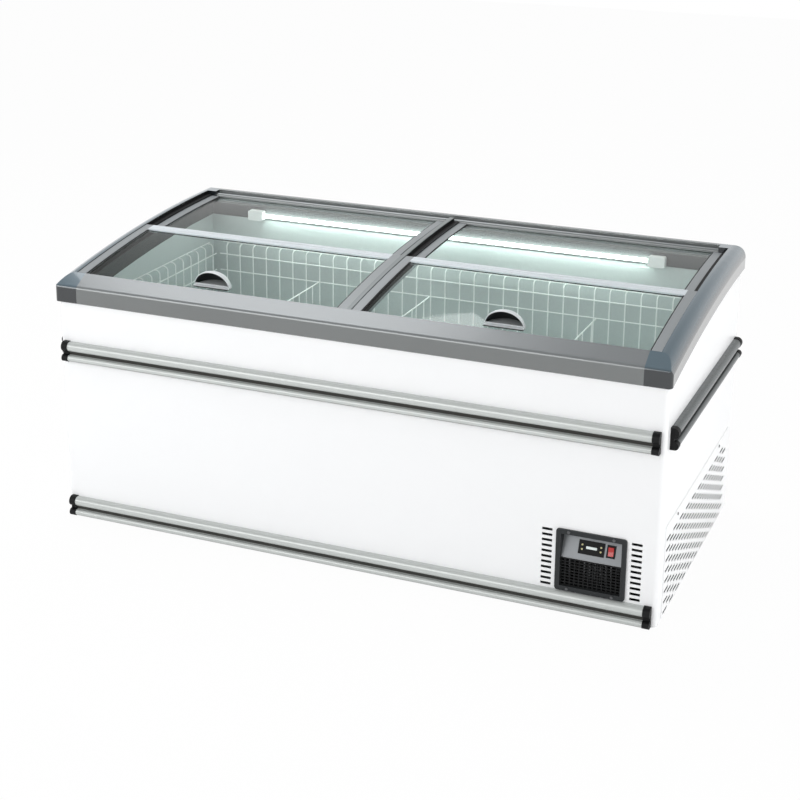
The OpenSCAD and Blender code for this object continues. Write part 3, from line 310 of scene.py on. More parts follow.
def make_finish(name, colour, drift=0.04, drift_scale=3.0, gloss=(0.35, 0.5), grain=900.0, depth=0.15,
                lines=None, pale_edge=None, pale_edge_share=0.6, lit_tops=None, metal=0.0, coat=0.0, mirror=0.5, bump_mm=0.2):
    material, tree, shader = new_material(name)
    shader.inputs["Metallic"].default_value = metal
    shader.inputs["Coat Weight"].default_value = coat
    shader.inputs["Specular IOR Level"].default_value = mirror
    colour_node = grouped(tree, drifting_tone, Colour=colour, Scale=drift_scale, Drift=drift)
    if lit_tops is not None:
        lit_top_blend = grouped(tree, painted_light_tops, Tops=lit_tops)
        join(tree, colour_node.outputs["Colour"], lit_top_blend.inputs["Colour"])
        colour_node = lit_top_blend
    if pale_edge is not None:
        edges = grouped(tree, worn_or_lit_edges, Rubbed=pale_edge, Amount=pale_edge_share)
        join(tree, colour_node.outputs["Colour"], edges.inputs["Colour"])
        colour_node = edges
    join(tree, colour_node.outputs["Colour"], shader.inputs["Base Color"])
    if lines is None:
        skin = grouped(tree, skin_grain, Scale=grain, Glossiest=gloss[0], Dullest=gloss[1])
    else:
        skin = grouped(tree, drawn_lines, Squeeze=lines, Scale=grain, Glossiest=gloss[0], Dullest=gloss[1])
    join(tree, skin.outputs["Roughness"], shader.inputs["Roughness"])
    join(tree, bumped(tree, skin.outputs["Height"], depth, bump_mm * mm), shader.inputs["Normal"])
    return material


print("finish recipe ready")

# %% [markdown]
# ## Finishes of the cabinet, the top frame and the works
# The body is white painted sheet with a faint orange peel. The rails are satin grey lengths whose lines
# follow the length: along X in front and behind, along Y at the ends and on the lids. Plastics have a
# pebbled skin and paler edges. What sits in the machine compartment has plain metal and paint, since it
# shows through the vents only.

# %% plain finishes
along_x = (0.012, 1.0, 1.0)
along_y = (1.0, 0.012, 1.0)
recipes = {
    "white_sheet": dict(colour=tone(247, 248, 249), drift=0.012, drift_scale=1.6, gloss=(0.26, 0.36),
                        grain=420.0, depth=0.06, coat=0.15),
    "galvanised_sheet": dict(colour=tone(168, 172, 175), drift=0.16, drift_scale=60.0, gloss=(0.3, 0.5),
                             grain=120.0, depth=0.05, metal=0.85),
    "foam": dict(colour=tone(226, 212, 160), drift=0.08, drift_scale=40.0, gloss=(0.75, 0.9), grain=600.0,
                 depth=0.5),
    "coil_tube": dict(colour=tone(190, 190, 194), gloss=(0.25, 0.4), lines=along_x, metal=0.9),
    # both rails take a paler colour on their tops as painted light
    "rail_grey": dict(colour=tone(122, 125, 125), drift=0.08, gloss=(0.14, 0.3), lines=along_x, grain=700.0,
                      depth=0.04, lit_tops=tone(138, 142, 144), metal=0.35, coat=0.1),
    "rail_blue_grey": dict(colour=tone(32, 37, 41), drift=0.04, gloss=(0.06, 0.16), lines=along_y,
                           grain=700.0, depth=0.03, lit_tops=tone(96, 113, 123), metal=0.1, coat=1.0,
                           pale_edge=tone(120, 130, 138), pale_edge_share=0.4),
    "mullion_grey": dict(colour=tone(130, 137, 138), drift=0.03, gloss=(0.28, 0.42), lines=along_y,
                         grain=500.0, depth=0.08, metal=0.2),
    # the strips' near-white edges are a painted highlight
    "strip_grey": dict(colour=tone(146, 151, 154), drift=0.03, gloss=(0.28, 0.42), lines=along_y,
                       grain=500.0, depth=0.08, pale_edge=tone(236, 240, 242), pale_edge_share=0.9, metal=0.15),
    "bar_grey": dict(colour=tone(218, 226, 231), drift=0.03, gloss=(0.22, 0.34), lines=along_x, grain=500.0,
                     depth=0.06, metal=0.2, coat=0.2),
    "handle_grey": dict(colour=tone(216, 221, 223), gloss=(0.3, 0.42), grain=1400.0, depth=0.12,
                        pale_edge=tone(215, 217, 218), pale_edge_share=0.7),
    # the inside of the handle hoods takes this dark colour as painted shade
    "handle_dark": dict(colour=tone(30, 36, 36), gloss=(0.4, 0.55), grain=1400.0, depth=0.2),
    "handle_inside": dict(colour=tone(198, 203, 204), gloss=(0.35, 0.5), grain=1400.0, depth=0.15),
    "dark_plastic": dict(colour=tone(38, 41, 43), gloss=(0.4, 0.55), grain=1600.0, depth=0.3,
                         pale_edge=tone(110, 112, 114), pale_edge_share=0.5, mirror=0.3),
    "black_plastic": dict(colour=tone(16, 17, 18), gloss=(0.46, 0.6), grain=1600.0, depth=0.25,
                          pale_edge=tone(74, 75, 76), pale_edge_share=0.5, mirror=0.2),
    "black_rubber": dict(colour=tone(26, 26, 27), gloss=(0.6, 0.8), grain=700.0, depth=0.3,
                         pale_edge=tone(70, 70, 70), pale_edge_share=0.5),
    "fascia_silver": dict(colour=tone(130, 133, 136), gloss=(0.34, 0.48), lines=along_x, grain=900.0,
                          depth=0.1, metal=0.35, pale_edge=tone(205, 206, 207), pale_edge_share=0.5),
    "display_black": dict(colour=tone(14, 15, 16), gloss=(0.4, 0.5), grain=500.0, depth=0.02, mirror=0.15),
    "button_yellow": dict(colour=tone(205, 198, 140), gloss=(0.25, 0.35), grain=900.0, depth=0.08),
    "rocker_red": dict(colour=tone(190, 32, 30), gloss=(0.18, 0.3), grain=900.0, depth=0.05, coat=0.3),
    "screw_steel": dict(colour=tone(96, 97, 99), gloss=(0.25, 0.45), grain=900.0, depth=0.1, metal=0.9),
    "compressor_black": dict(colour=tone(34, 34, 36), gloss=(0.3, 0.5), grain=300.0, depth=0.2, coat=0.2),
    "condenser_metal": dict(colour=tone(170, 172, 174), drift=0.08, gloss=(0.35, 0.55),
                            lines=(1.0, 1.0, 0.02), metal=0.9),
    "motor_metal": dict(colour=tone(78, 78, 82), gloss=(0.35, 0.5), grain=500.0, depth=0.2, metal=0.4),
    "fan_plastic": dict(colour=tone(92, 94, 96), gloss=(0.4, 0.55), grain=1200.0, depth=0.2),
    "white_plastic": dict(colour=tone(247, 249, 249), drift=0.02, gloss=(0.3, 0.42), grain=1200.0,
                          depth=0.1),
    "white_wire": dict(colour=tone(250, 252, 251), drift=0.03, drift_scale=12.0, gloss=(0.26, 0.4),
                       grain=900.0, depth=0.12, coat=0.15),
}
finishes = {name: make_finish(name, **recipe) for name, recipe in recipes.items()}
print("finishes:", len(finishes))

# %% [markdown]
# ## Finish of the tank's lining
# The lining is pale grey-green stucco sheet. The dimples bump the surface, make the gloss uneven and shade
# their own hollows a little, so that the sheet reads as embossed even where no light glances off it.

# %% tank lining
material, tree, shader = new_material("tank_lining")
base = grouped(tree, drifting_tone, Colour=tone(202, 210, 210), Scale=2.0, Drift=0.03)
stucco = grouped(tree, stucco_sheet, Scale=130.0)
shaded = place(tree, "ShaderNodeVectorMath", operation="SCALE")
join(tree, base.outputs["Colour"], shaded.inputs[0])
join(tree, stucco.outputs["Shade"], shaded.inputs["Scale"])
join(tree, shaded.outputs[0], shader.inputs["Base Color"])
join(tree, stucco.outputs["Roughness"], shader.inputs["Roughness"])
join(tree, bumped(tree, stucco.outputs["Height"], 0.35, 0.6 * mm), shader.inputs["Normal"])
shader.inputs["Metallic"].default_value = 0.1
finishes["tank_lining"] = material
print("finish:", material.name)

# %% [markdown]
# ## Finish of the bumpers
# A bumper is one length of grey plastic with two ribs. The hollow between them is a dark insert, and a thin
# line along the foot is painted shade in the same dark colour. Both are found by height above the bumper's
# bottom. The bumpers at the ends are darker than those in front.

# %% bumper ribs and hollows
bumper_height = 58 * mm
hollow_low, hollow_high, foot_shade_line = 0.33, 0.52, 0.06


def bumper_finish(name, bottom, rib_colour):
    bumper, tree, shader = new_material(name)
    coordinates = place(tree, "ShaderNodeTexCoord")
    parts = place(tree, "ShaderNodeSeparateXYZ")
    join(tree, coordinates.outputs["Object"], parts.inputs[0])
    edge = 1.5 * mm
    masks = []
    for level, sense in ((hollow_low, 1), (hollow_high, -1), (foot_shade_line, -1)):
        line = bottom + level * bumper_height
        step = place(tree, "ShaderNodeMapRange")
        step.inputs["From Min"].default_value = line - sense * edge
        step.inputs["From Max"].default_value = line + sense * edge
        join(tree, parts.outputs["Z"], step.inputs["Value"])
        masks.append(step.outputs["Result"])
    hollow = place(tree, "ShaderNodeMath", operation="MULTIPLY")
    join(tree, masks[0], hollow.inputs[0])
    join(tree, masks[1], hollow.inputs[1])
    # the foot line is painted shade, mixed in with the insert's dark colour
    inside = place(tree, "ShaderNodeMath", operation="MAXIMUM")
    join(tree, hollow.outputs[0], inside.inputs[0])
    join(tree, masks[2], inside.inputs[1])
    rib = grouped(tree, drifting_tone, Colour=rib_colour, Scale=5.0, Drift=0.04)
    insert_and_foot_shade = grouped(tree, drifting_tone, Colour=tone(36, 35, 31), Scale=5.0, Drift=0.08)
    mixed = place(tree, "ShaderNodeMix", data_type="RGBA")
    join(tree, inside.outputs[0], mixed.inputs["Factor"])
    join(tree, rib.outputs["Colour"], mixed.inputs[6])
    join(tree, insert_and_foot_shade.outputs["Colour"], mixed.inputs[7])
    join(tree, mixed.outputs[2], shader.inputs["Base Color"])
    skin = grouped(tree, drawn_lines, Squeeze=along_x, Scale=600.0, Glossiest=0.22, Dullest=0.36)
    join(tree, skin.outputs["Roughness"], shader.inputs["Roughness"])
    join(tree, bumped(tree, skin.outputs["Height"], 0.1, 0.2 * mm), shader.inputs["Normal"])
    shader.inputs["Metallic"].default_value = 0.15
    return bumper


front_rib, end_rib = tone(196, 200, 198), tone(92, 97, 98)
upper_bumper_finish = bumper_finish("upper_bumper_grey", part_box("upper_front_bumper")[0].z, front_rib)
lower_bumper_finish = bumper_finish("lower_bumper_grey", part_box("lower_front_bumper")[0].z, front_rib)
end_bumper_finish = bumper_finish("end_bumper_grey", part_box("right_bumper")[0].z, end_rib)
print("finishes:", upper_bumper_finish.name, lower_bumper_finish.name, end_bumper_finish.name)

# %% [markdown]
# ## Finish of the lid glass
# Toughened float glass is clear through its face and dark green at its edges, where light runs a long way
# through it. The edges are the faces that do not look up or down. Light that only passes through goes
# straight on, or the tank would be full of noise: for shadow and diffuse rays the glass is a plain film,
# and for the eye it bends and mirrors. Its index is kept lower than glass really has, so that the mirrored
# room doesn't veil the tank.

# %% lid glass
material, tree, shader = new_material("lid_glass")
wiped = grouped(tree, skin_grain, Scale=40.0, Glossiest=0.0, Dullest=0.02)
tint = grouped(tree, drifting_tone, Colour=tone(247, 252, 250), Scale=1.5, Drift=0.01)
facing = place(tree, "ShaderNodeNewGeometry")
facing_parts = place(tree, "ShaderNodeSeparateXYZ")
join(tree, facing.outputs["Normal"], facing_parts.inputs[0])
upright = place(tree, "ShaderNodeMath", operation="ABSOLUTE")
join(tree, facing_parts.outputs["Z"], upright.inputs[0])
at_edge = place(tree, "ShaderNodeMapRange")
at_edge.inputs["From Min"].default_value = 0.6
at_edge.inputs["From Max"].default_value = 0.4
join(tree, upright.outputs[0], at_edge.inputs["Value"])
edged = place(tree, "ShaderNodeMix", data_type="RGBA")
join(tree, at_edge.outputs["Result"], edged.inputs["Factor"])
join(tree, tint.outputs["Colour"], edged.inputs[6])
edged.inputs[7].default_value = tone(30, 74, 66)
join(tree, edged.outputs[2], shader.inputs["Base Color"])
join(tree, wiped.outputs["Roughness"], shader.inputs["Roughness"])
shader.inputs["Transmission Weight"].default_value = 1.0
shader.inputs["IOR"].default_value = 1.18
film = place(tree, "ShaderNodeBsdfTransparent", color=tone(252, 254, 253))
light_path = place(tree, "ShaderNodeLightPath")
passing = place(tree, "ShaderNodeMath", operation="MAXIMUM")
join(tree, light_path.outputs["Is Shadow Ray"], passing.inputs[0])
join(tree, light_path.outputs["Is Diffuse Ray"], passing.inputs[1])
either = place(tree, "ShaderNodeMixShader")
join(tree, passing.outputs[0], either.inputs[0])
join(tree, shader.outputs[0], either.inputs[1])
join(tree, film.outputs[0], either.inputs[2])
join(tree, either.outputs[0], tree.nodes["Material Output"].inputs["Surface"])
finishes["lid_glass"] = material
print("finish:", material.name)

# %% [markdown]
# ## Finish of the lamp
# The tube under the rear rail is lit. Its frosted glass glows evenly, with a faint green cast, and it is
# strong enough to light the tank, but not the room.

# %% lamp tube
material, tree, shader = new_material("lamp_glass")
glow = grouped(tree, drifting_tone, Colour=tone(240, 255, 248), Scale=6.0, Drift=0.02)
frosting = grouped(tree, skin_grain, Scale=1500.0, Glossiest=0.3, Dullest=0.45)
join(tree, glow.outputs["Colour"], shader.inputs["Base Color"])
join(tree, glow.outputs["Colour"], shader.inputs["Emission Color"])
join(tree, frosting.outputs["Roughness"], shader.inputs["Roughness"])
shader.inputs["Emission Strength"].default_value = 34.0
finishes["lamp_glass"] = material
print("finish:", material.name)

# %% [markdown]
# ## Dressing the solids
# Each solid takes the finish of its slot in the record. A few read better with a near relative: the
# crossbars are paler than the strips, the bumpers have finishes of their own, and the bumper ends and the
# switch frame are black. Sharp edges of moulded and folded pieces get a small bevel, because real edges are
# never perfectly sharp and the bevel catches the light.

# %% dress the solids
special = {
    "front_left_crossbar": finishes["bar_grey"],
    "front_right_crossbar": finishes["bar_grey"],
    "upper_front_bumper": upper_bumper_finish,
    "lower_front_bumper": lower_bumper_finish,
    "left_bumper": end_bumper_finish,
    "right_bumper": end_bumper_finish,
    "bumper_end_caps": finishes["black_plastic"],
    "switch_frame": finishes["black_plastic"],
}
bevels = {
    "front_rail": 0.6, "rear_rail": 0.5, "left_end_rail": 0.6, "right_end_rail": 0.6, "mullion": 0.6,
    "front_left_strips": 0.4, "front_right_strips": 0.4, "rear_left_strips": 0.4, "rear_right_strips": 0.4,
    "front_left_crossbar": 0.6, "front_right_crossbar": 0.6, "bumper_end_caps": 2.4, "control_bezel": 1.5,
    "control_fascia": 0.6, "thermostat": 0.5, "switch_frame": 0.6, "power_rocker": 0.5, "lamp_holders": 1.5,
    "set_button": 0.4, "defrost_button": 0.4, "up_button": 0.4, "down_button": 0.4, "collar": 0.5,
    "cable_gland": 0.8, "vent_panel": 0.3,
}
for name, part in nodes.items():
    part.data.materials.clear()
    part.data.materials.append(special.get(name) or finishes[slot_of[name]])
    if name in bevels:
        bevel = part.modifiers.new("soft_edges", "BEVEL")
        bevel.width = bevels[name] * mm
        bevel.segments = 3
        bevel.limit_method = "ANGLE"
        bevel.angle_limit = math.radians(40)
        bevel.harden_normals = True
    even = part.modifiers.new("even_shading", "WEIGHTED_NORMAL")
    even.keep_sharp = True
print("dressed solids:", len(nodes), "with soft edges:", len(bevels))

# %% [markdown]
# ## Building with tubes and rings
# Wires, hoods and plugs are all rows or rings of points joined by faces. One function bends a round tube
# along a path, and two more join a stack of rings or of open rows into a skin. All hand back plain points
# and faces, so that many wires can be gathered into one piece.


# %% tube and ring helpers
def bent_tube(path, radius, sides=10):
    """Points and faces of a round tube along a path, with domed ends."""
    path = [Vector(p) for p in path]
    points, faces = [], []
    side = None
    for i, centre in enumerate(path):
        ahead = (path[min(i + 1, len(path) - 1)] - path[max(i - 1, 0)]).normalized()
        if side is None:
            side = ahead.orthogonal().normalized()
        side = (side - ahead * side.dot(ahead)).normalized()
        across = ahead.cross(side)
        for k in range(sides):
            turn = 2 * math.pi * k / sides
            points.append(centre + radius * (math.cos(turn) * side + math.sin(turn) * across))
    for i in range(len(path) - 1):
        for k in range(sides):
            a, b = i * sides + k, i * sides + (k + 1) % sides
            faces.append((a, b, b + sides, a + sides))
    dome_height = 0.6 * radius
    for ring, inward in ((0, path[1] - path[0]), (len(path) - 1, path[-2] - path[-1])):
        tip = len(points)
        points.append(path[ring] - inward.normalized() * dome_height)
        for k in range(sides):
            a, b = ring * sides + k, ring * sides + (k + 1) % sides
            faces.append((b, a, tip) if ring == 0 else (a, b, tip))
    return points, faces


def ring_skin(rings, close_first=False, close_last=False):
    """Points and faces of a skin over closed rings that all have the same number of points."""
    size = len(rings[0])
    points = [p for ring in rings for p in ring]
    faces = []
    for i in range(len(rings) - 1):
        for k in range(size):
            a, b = i * size + k, i * size + (k + 1) % size
            faces.append((a, b, b + size, a + size))
    if close_first:
        faces.append(tuple(reversed(range(size))))
    if close_last:
        faces.append(tuple(range(len(points) - size, len(points))))
    return points, faces


def rounded_plate(width, height, corner, steps=5):
    """Plane points of a rectangle with rounded corners."""
    outline = []
    for quarter, (sx, sy) in enumerate(((1, 1), (-1, 1), (-1, -1), (1, -1))):
        for i in range(steps + 1):
            turn = math.pi / 2 * (quarter + i / steps)
            outline.append((sx * (width / 2 - corner) + corner * math.cos(turn),
                            sy * (height / 2 - corner) + corner * math.sin(turn)))
    return outline


def sheet_skin(rows):
    """Points and faces of a skin over open rows that all have the same number of points."""
    size = len(rows[0])
    points = [p for row in rows for p in row]
    faces = [(i * size + k, i * size + k + 1, (i + 1) * size + k + 1, (i + 1) * size + k)
             for i in range(len(rows) - 1) for k in range(size - 1)]
    return points, faces


def make_piece(name, shapes, materials, body, faces_of=None, smooth_angle=40):
    """One object from several shapes, dressed, smoothed and riding on its body."""
    points, faces = [], []
    for shape_points, shape_faces in shapes:
        offset = len(points)
        points += [tuple(p) for p in shape_points]
        faces += [tuple(i + offset for i in face) for face in shape_faces]
    mesh = bpy.data.meshes.new(name)
    mesh.from_pydata(points, [], faces)
    mesh.validate()
    for material in materials:
        mesh.materials.append(material)
    if faces_of is not None:
        for face in mesh.polygons:
            face.material_index = faces_of(face)
    mesh.shade_smooth()
    mesh.set_sharp_from_angle(angle=math.radians(smooth_angle))
    piece = bpy.data.objects.new(name, mesh)
    bpy.context.scene.collection.objects.link(piece)
    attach(piece, body)
    print("piece:", name, "points:", len(points))
    return piece


print("tube and ring helpers ready")

# %% [markdown]
# ## Wire grids round the tank
# White plastic-coated wire lines the four walls and keeps the goods off the cold lining. Each upright bends
# over to the wall at its top, long wires run across in front, and one more holds the tips. The square bars
# of the solids stand in for them; here each wire is round and its bend is a true quarter circle.

# %% wire grids
wire = 4 * mm
wire_pitch = 49 * mm
long_wire_gap = 56 * mm
upper_wire = 631 * mm
hook_bend = 14 * mm
weld = 1 * mm
step_wall = 53 * mm
tank_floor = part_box("back_grid")[0].z
step_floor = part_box("right_grid")[0].z
step_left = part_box("machine_bulkhead")[0].x - step_wall
grid_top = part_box("back_grid")[1].z
tank_middle = (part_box("back_grid")[0].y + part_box("front_grid")[1].y) / 2


def hooked_wire(at, low, reach, spot):
    """An upright whose top bends over to the wall; spot turns along, towards-wall and height into a point."""
    half = wire / 2
    radius = hook_bend - half
    bend = [math.radians(a) for a in range(0, 91, 15)]
    path = [spot(at, half, low + half), spot(at, half, (low + grid_top) / 2)]
    path += [spot(at, half + radius - radius * math.cos(a), grid_top - half - radius + radius * math.sin(a))
             for a in bend]
    path.append(spot(at, reach - half, grid_top - half))
    return bent_tube(path, half)


def evenly_spread(half):
    count = math.floor(2 * half / wire_pitch)
    return [(i - count / 2) * wire_pitch for i in range(count + 1)]


def long_levels(low):
    return [upper_wire, upper_wire - long_wire_gap, low + wire]


def wire_grid(name, spot, half, uprights, reach, low_at, right_end_at, levels):
    shapes = [hooked_wire(at, low_at(at), reach, spot) for at in uprights]
    across = weld - wire / 2
    for level in levels:
        height = level + wire / 2
        shapes.append(bent_tube([spot(-half, across, height), spot(0, across, height),
                                 spot(right_end_at(level), across, height)], wire / 2))
    tip = (reach - wire / 2, grid_top - wire / 2)
    shapes.append(bent_tube([spot(-half, *tip), spot(0, *tip), spot(half, *tip)], wire / 2))
    grid = make_piece(name + "_wires", shapes, [finishes["white_wire"]], "cabinet")
    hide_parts(name)
    return grid


back_low, back_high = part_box("back_grid")
front_low, front_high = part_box("front_grid")
right_low, right_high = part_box("right_grid")
left_low, left_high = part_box("left_grid")
reach = back_high.y - back_low.y - (wire - weld)
back_plane = back_high.y - reach
front_plane = front_low.y + reach
right_plane = right_high.x - reach
left_plane = left_low.x + reach
long_half = back_high.x
end_half = (right_high.y - right_low.y) / 2


def floor_under(x):
    return step_floor if x + wire > step_left else tank_floor


def long_wire_end(level):
    return long_half if level > step_floor else step_left - wire


long_uprights = evenly_spread(long_half)
end_uprights = evenly_spread(end_half - wire)
wire_grid("back_grid", lambda a, b, z: (a, back_plane + b, z), long_half, long_uprights, reach,
          floor_under, long_wire_end, long_levels(tank_floor))
wire_grid("front_grid", lambda a, b, z: (a, front_plane - b, z), long_half, long_uprights, reach,
          floor_under, long_wire_end, long_levels(tank_floor))
wire_grid("right_grid", lambda a, b, z: (right_plane + b, tank_middle + a, z), end_half, end_uprights, reach,
          lambda a: step_floor, lambda level: end_half, long_levels(step_floor))
wire_grid("left_grid", lambda a, b, z: (left_plane - b, tank_middle + a, z), end_half, end_uprights, reach,
          lambda a: tank_floor, lambda level: end_half, long_levels(tank_floor))

# %% [markdown]
# ## Dividers
# Three wire dividers part the tank. Each is a ladder of uprights between three long wires, and the top wire
# runs on to the grids in front and behind, where it rests. Their places along the tank are read off the
# solids.

# %% dividers
divider_low, divider_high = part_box("dividers")
divider_points = sorted(v.co.x for v in nodes["dividers"].data.vertices)
groups = [[divider_points[0]]]
for x in divider_points[1:]:
    if x - groups[-1][-1] > 10 * wire:
        groups.append([])
    groups[-1].append(x)
divider_places = [(group[0] + group[-1]) / 2 for group in groups]
divider_half = (divider_high.y - divider_low.y) / 2
divider_middle = (divider_high.y + divider_low.y) / 2
divider_pitch = 2 * wire_pitch
count = math.floor(2 * (divider_half - wire) / divider_pitch)
half_way_up = (divider_low.z + divider_high.z) / 2
long_wire_radius = 1.05 * wire / 2
shapes = []
for x in divider_places:
    for i in range(count + 1):
        y = divider_middle + (i - count / 2) * divider_pitch
        shapes.append(bent_tube([(x, y, divider_low.z + wire / 2), (x, y, half_way_up),
                                 (x, y, divider_high.z - wire / 2)], wire / 2))
    for z in (divider_low.z + 1.5 * wire, half_way_up, divider_high.z - wire / 2):
        shapes.append(bent_tube([(x, divider_low.y + wire / 2, z), (x, divider_middle, z),
                                 (x, divider_high.y - wire / 2, z)], long_wire_radius))
dividers = make_piece("divider_wires", shapes, [finishes["white_wire"]], "cabinet")
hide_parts("dividers")

# %% [markdown]
# ## Handle hoods
# Each front lid is moved by a half-moon hood that stands on the glass, open to the front. The solid has the
# form; here its wall is one smooth sheet that runs up the outside, round the thin pale rim of the mouth and
# down the inside, which is dark as painted shade. A lip in two pale ridges runs along the mouth, with a dark
# pad in front of it that is a painted shadow, and the floor under the hood is a mid grey. All of it is laid
# out square to the glass, from the solid's box.

# %% handle hoods
slide = next(row for row in frame["joints"] if row["name"] == "front_left_lid_slide")
arch_y, arch_z = slide["pos_m"][1], slide["pos_m"][2]
arch_radius = 4.8
hood_wall = 2.5 * mm
hood_flange = 1.5 * mm
lip_depth, lip_height = 7 * mm, 5 * mm
ridge_rise = 2.5 * mm
shadow_pad_height = 1.2 * mm
rim_round = 0.8 * mm
rim_edge = 0.3 * mm
dome_steps = 48
foot_steps = 60
# the dark finish carries painted shade inside the hood and a painted shadow in front of the lip
pale, dark, inside = 0, 1, 2


def on_arch(x, y, height):
    """A point above the arch: height is measured square to it, from the lower edge of the top frame."""
    radius = arch_radius + height
    return Vector((x, y, arch_z + math.sqrt(radius * radius - (y - arch_y) ** 2)))


def handle_hood(side):
    low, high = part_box("front_" + side + "_handle")
    glass_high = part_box("front_" + side + "_glass")[1]
    middle = (low.x + high.x) / 2
    half_width = (high.x - low.x) / 2 - hood_flange
    glass_top = math.dist((glass_high.y, glass_high.z), (arch_y, arch_z))
    lean = math.asin((arch_y - (low.y + lip_depth)) / glass_top)
    mouth_y = low.y + lip_depth * math.cos(lean) + lip_height * math.sin(lean)
    mouth_z = arch_z + glass_top * math.cos(lean)
    tall = (high.z - mouth_z) / math.cos(lean)

    def on_glass(x, back, up):
        return Vector((middle + x, mouth_y + back * math.cos(lean) - up * math.sin(lean),
                       mouth_z + back * math.sin(lean) + up * math.cos(lean)))

    def dome_row(inset, turn, forward=0.0):
        """Half an ellipse over the mouth line, tilted back from upright (90 degrees) to flat (0 degrees)."""
        row = []
        for k in range(dome_steps + 1):
            t = math.pi * k / dome_steps
            out = (tall - inset) * math.sin(t)
            tilt = math.radians(turn)
            x = (half_width - inset) * math.cos(t)
            row.append(on_glass(x, out * math.cos(tilt) - forward, out * math.sin(tilt)))
        return row

    rows = [dome_row(0, turn) for turn in range(0, 91, 6)]
    rows += [dome_row(rim_edge, 90, 0.5 * mm), dome_row(hood_wall / 2, 90, rim_round),
             dome_row(hood_wall - rim_edge, 90, 0.5 * mm)]
    inner_shade_row = len(rows)
    # the inner rows take the dark finish as painted shade
    rows += [dome_row(hood_wall, turn) for turn in range(90, -1, -6)]
    dome = sheet_skin(rows)
    size = len(rows[0]) - 1
    foot_rings = []
    for grow, up in ((hood_flange, -rim_edge), (hood_flange, hood_wall - rim_round),
                     (hood_flange - rim_round, hood_wall)):
        foot_rings.append([on_glass((half_width + grow) * math.cos(math.pi * k / foot_steps),
                                    (tall + grow) * math.sin(math.pi * k / foot_steps), up)
                           for k in range(foot_steps + 1)])
    foot = ring_skin(foot_rings, close_last=True)
    # two pale ridges make the lip; the third, flat piece is the dark pad, a painted shadow
    ridges = []
    for back, depth, height in ((-lip_depth / 2 - 1 * mm, lip_depth - 2 * mm, lip_height),
                                (hood_wall, 2 * hood_wall, lip_height + ridge_rise),
                                (-lip_depth - 1 * mm, lip_depth, shadow_pad_height)):
        outline = rounded_plate(depth, height, rim_round)
        rings = []
        for x, shrink in ((-1.0, 0.6), (-0.985, 0.9), (-0.96, 1.0), (0.96, 1.0), (0.985, 0.9), (1.0, 0.6)):
            rings.append([on_glass(x * half_width, back + b * shrink, height / 2 + u * shrink)
                          for b, u in outline])
        ridges.append(ring_skin(rings, close_first=True, close_last=True))

    shapes = [dome, foot] + ridges
    foot_start = len(dome[1])
    ridge_start = foot_start + len(foot[1])
    shadow_pad_start = sum(len(faces) for points, faces in shapes[:-1])

    def pale_or_shaded(face):
        if face.index < foot_start:
            return pale if face.index // size < inner_shade_row else dark
        if face.index < ridge_start:
            return inside
        return dark if face.index >= shadow_pad_start else pale

    hood = make_piece("front_" + side + "_handle_hood", shapes,
                      [finishes["handle_grey"], finishes["handle_dark"], finishes["handle_inside"]],
                      "front_" + side + "_lid", pale_or_shaded, smooth_angle=50)
    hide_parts("front_" + side + "_handle")


for side in ("left", "right"):
    handle_hood(side)

# %% [markdown]
# ## Display window
# The thermostat's face has a pale window between its buttons. It is a thin rounded plate that lies on the
# face, in the face's own slope, which the button's travel gives: a button is pressed straight into the
# face.

# %% display window
press = next(row for row in frame["joints"] if row["name"] == "set_button_press")
into_face = Vector(press["axis"]).normalized()
out_of_face = -into_face
right_on_face = Vector((1, 0, 0))
up_face = out_of_face.cross(right_on_face)
button_boxes = [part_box(name) for name in ("set_button", "defrost_button", "up_button", "down_button")]
face_middle = sum(((low + high) / 2 for low, high in button_boxes), Vector()) / len(button_boxes)
face_level = max(v.co.dot(out_of_face) for v in nodes["thermostat"].data.vertices)
face_middle += out_of_face * (face_level - face_middle.dot(out_of_face))

material, tree, shader = new_material("window_glow")
glow = grouped(tree, drifting_tone, Colour=tone(205, 214, 212), Scale=300.0, Drift=0.12)
pane = grouped(tree, skin_grain, Scale=700.0, Glossiest=0.12, Dullest=0.25)
join(tree, glow.outputs["Colour"], shader.inputs["Base Color"])
join(tree, glow.outputs["Colour"], shader.inputs["Emission Color"])
join(tree, pane.outputs["Roughness"], shader.inputs["Roughness"])
shader.inputs["Emission Strength"].default_value = 0.25
window_width, window_height, window_corner = 30 * mm, 7 * mm, 1.2 * mm
window_sections = ((0, 0), (0, 0.35 * mm), (-0.25 * mm, 0.5 * mm), (-3 * mm, 0.5 * mm))
rings = []
for grow, rise in window_sections:
    corner = max(window_corner + grow, 0.3 * mm)
    outline = rounded_plate(window_width + 2 * grow, window_height + 2 * grow, corner)
    rings.append([face_middle + right_on_face * x + up_face * y + out_of_face * rise for x, y in outline])
make_piece("display_window", [ring_skin(rings, close_first=True, close_last=True)], [material], "cabinet")

# %% [markdown]
# ## Plugs in the lid strips
# Each strip that runs along a lid's side is closed in front by a small black plug. A plug is a short
# rounded block in the strip's own section, standing a hair proud of it, and it travels with its lid.

# %% strip plugs
plug_width, plug_height, plug_corner = 16 * mm, 5 * mm, 1.4 * mm
plug_inset = 2 * mm
plug_level = 61 * mm
plug_sections = ((9 * mm, 0), (1 * mm, 0), (0.1 * mm, -0.6 * mm), (-0.3 * mm, -1.8 * mm))


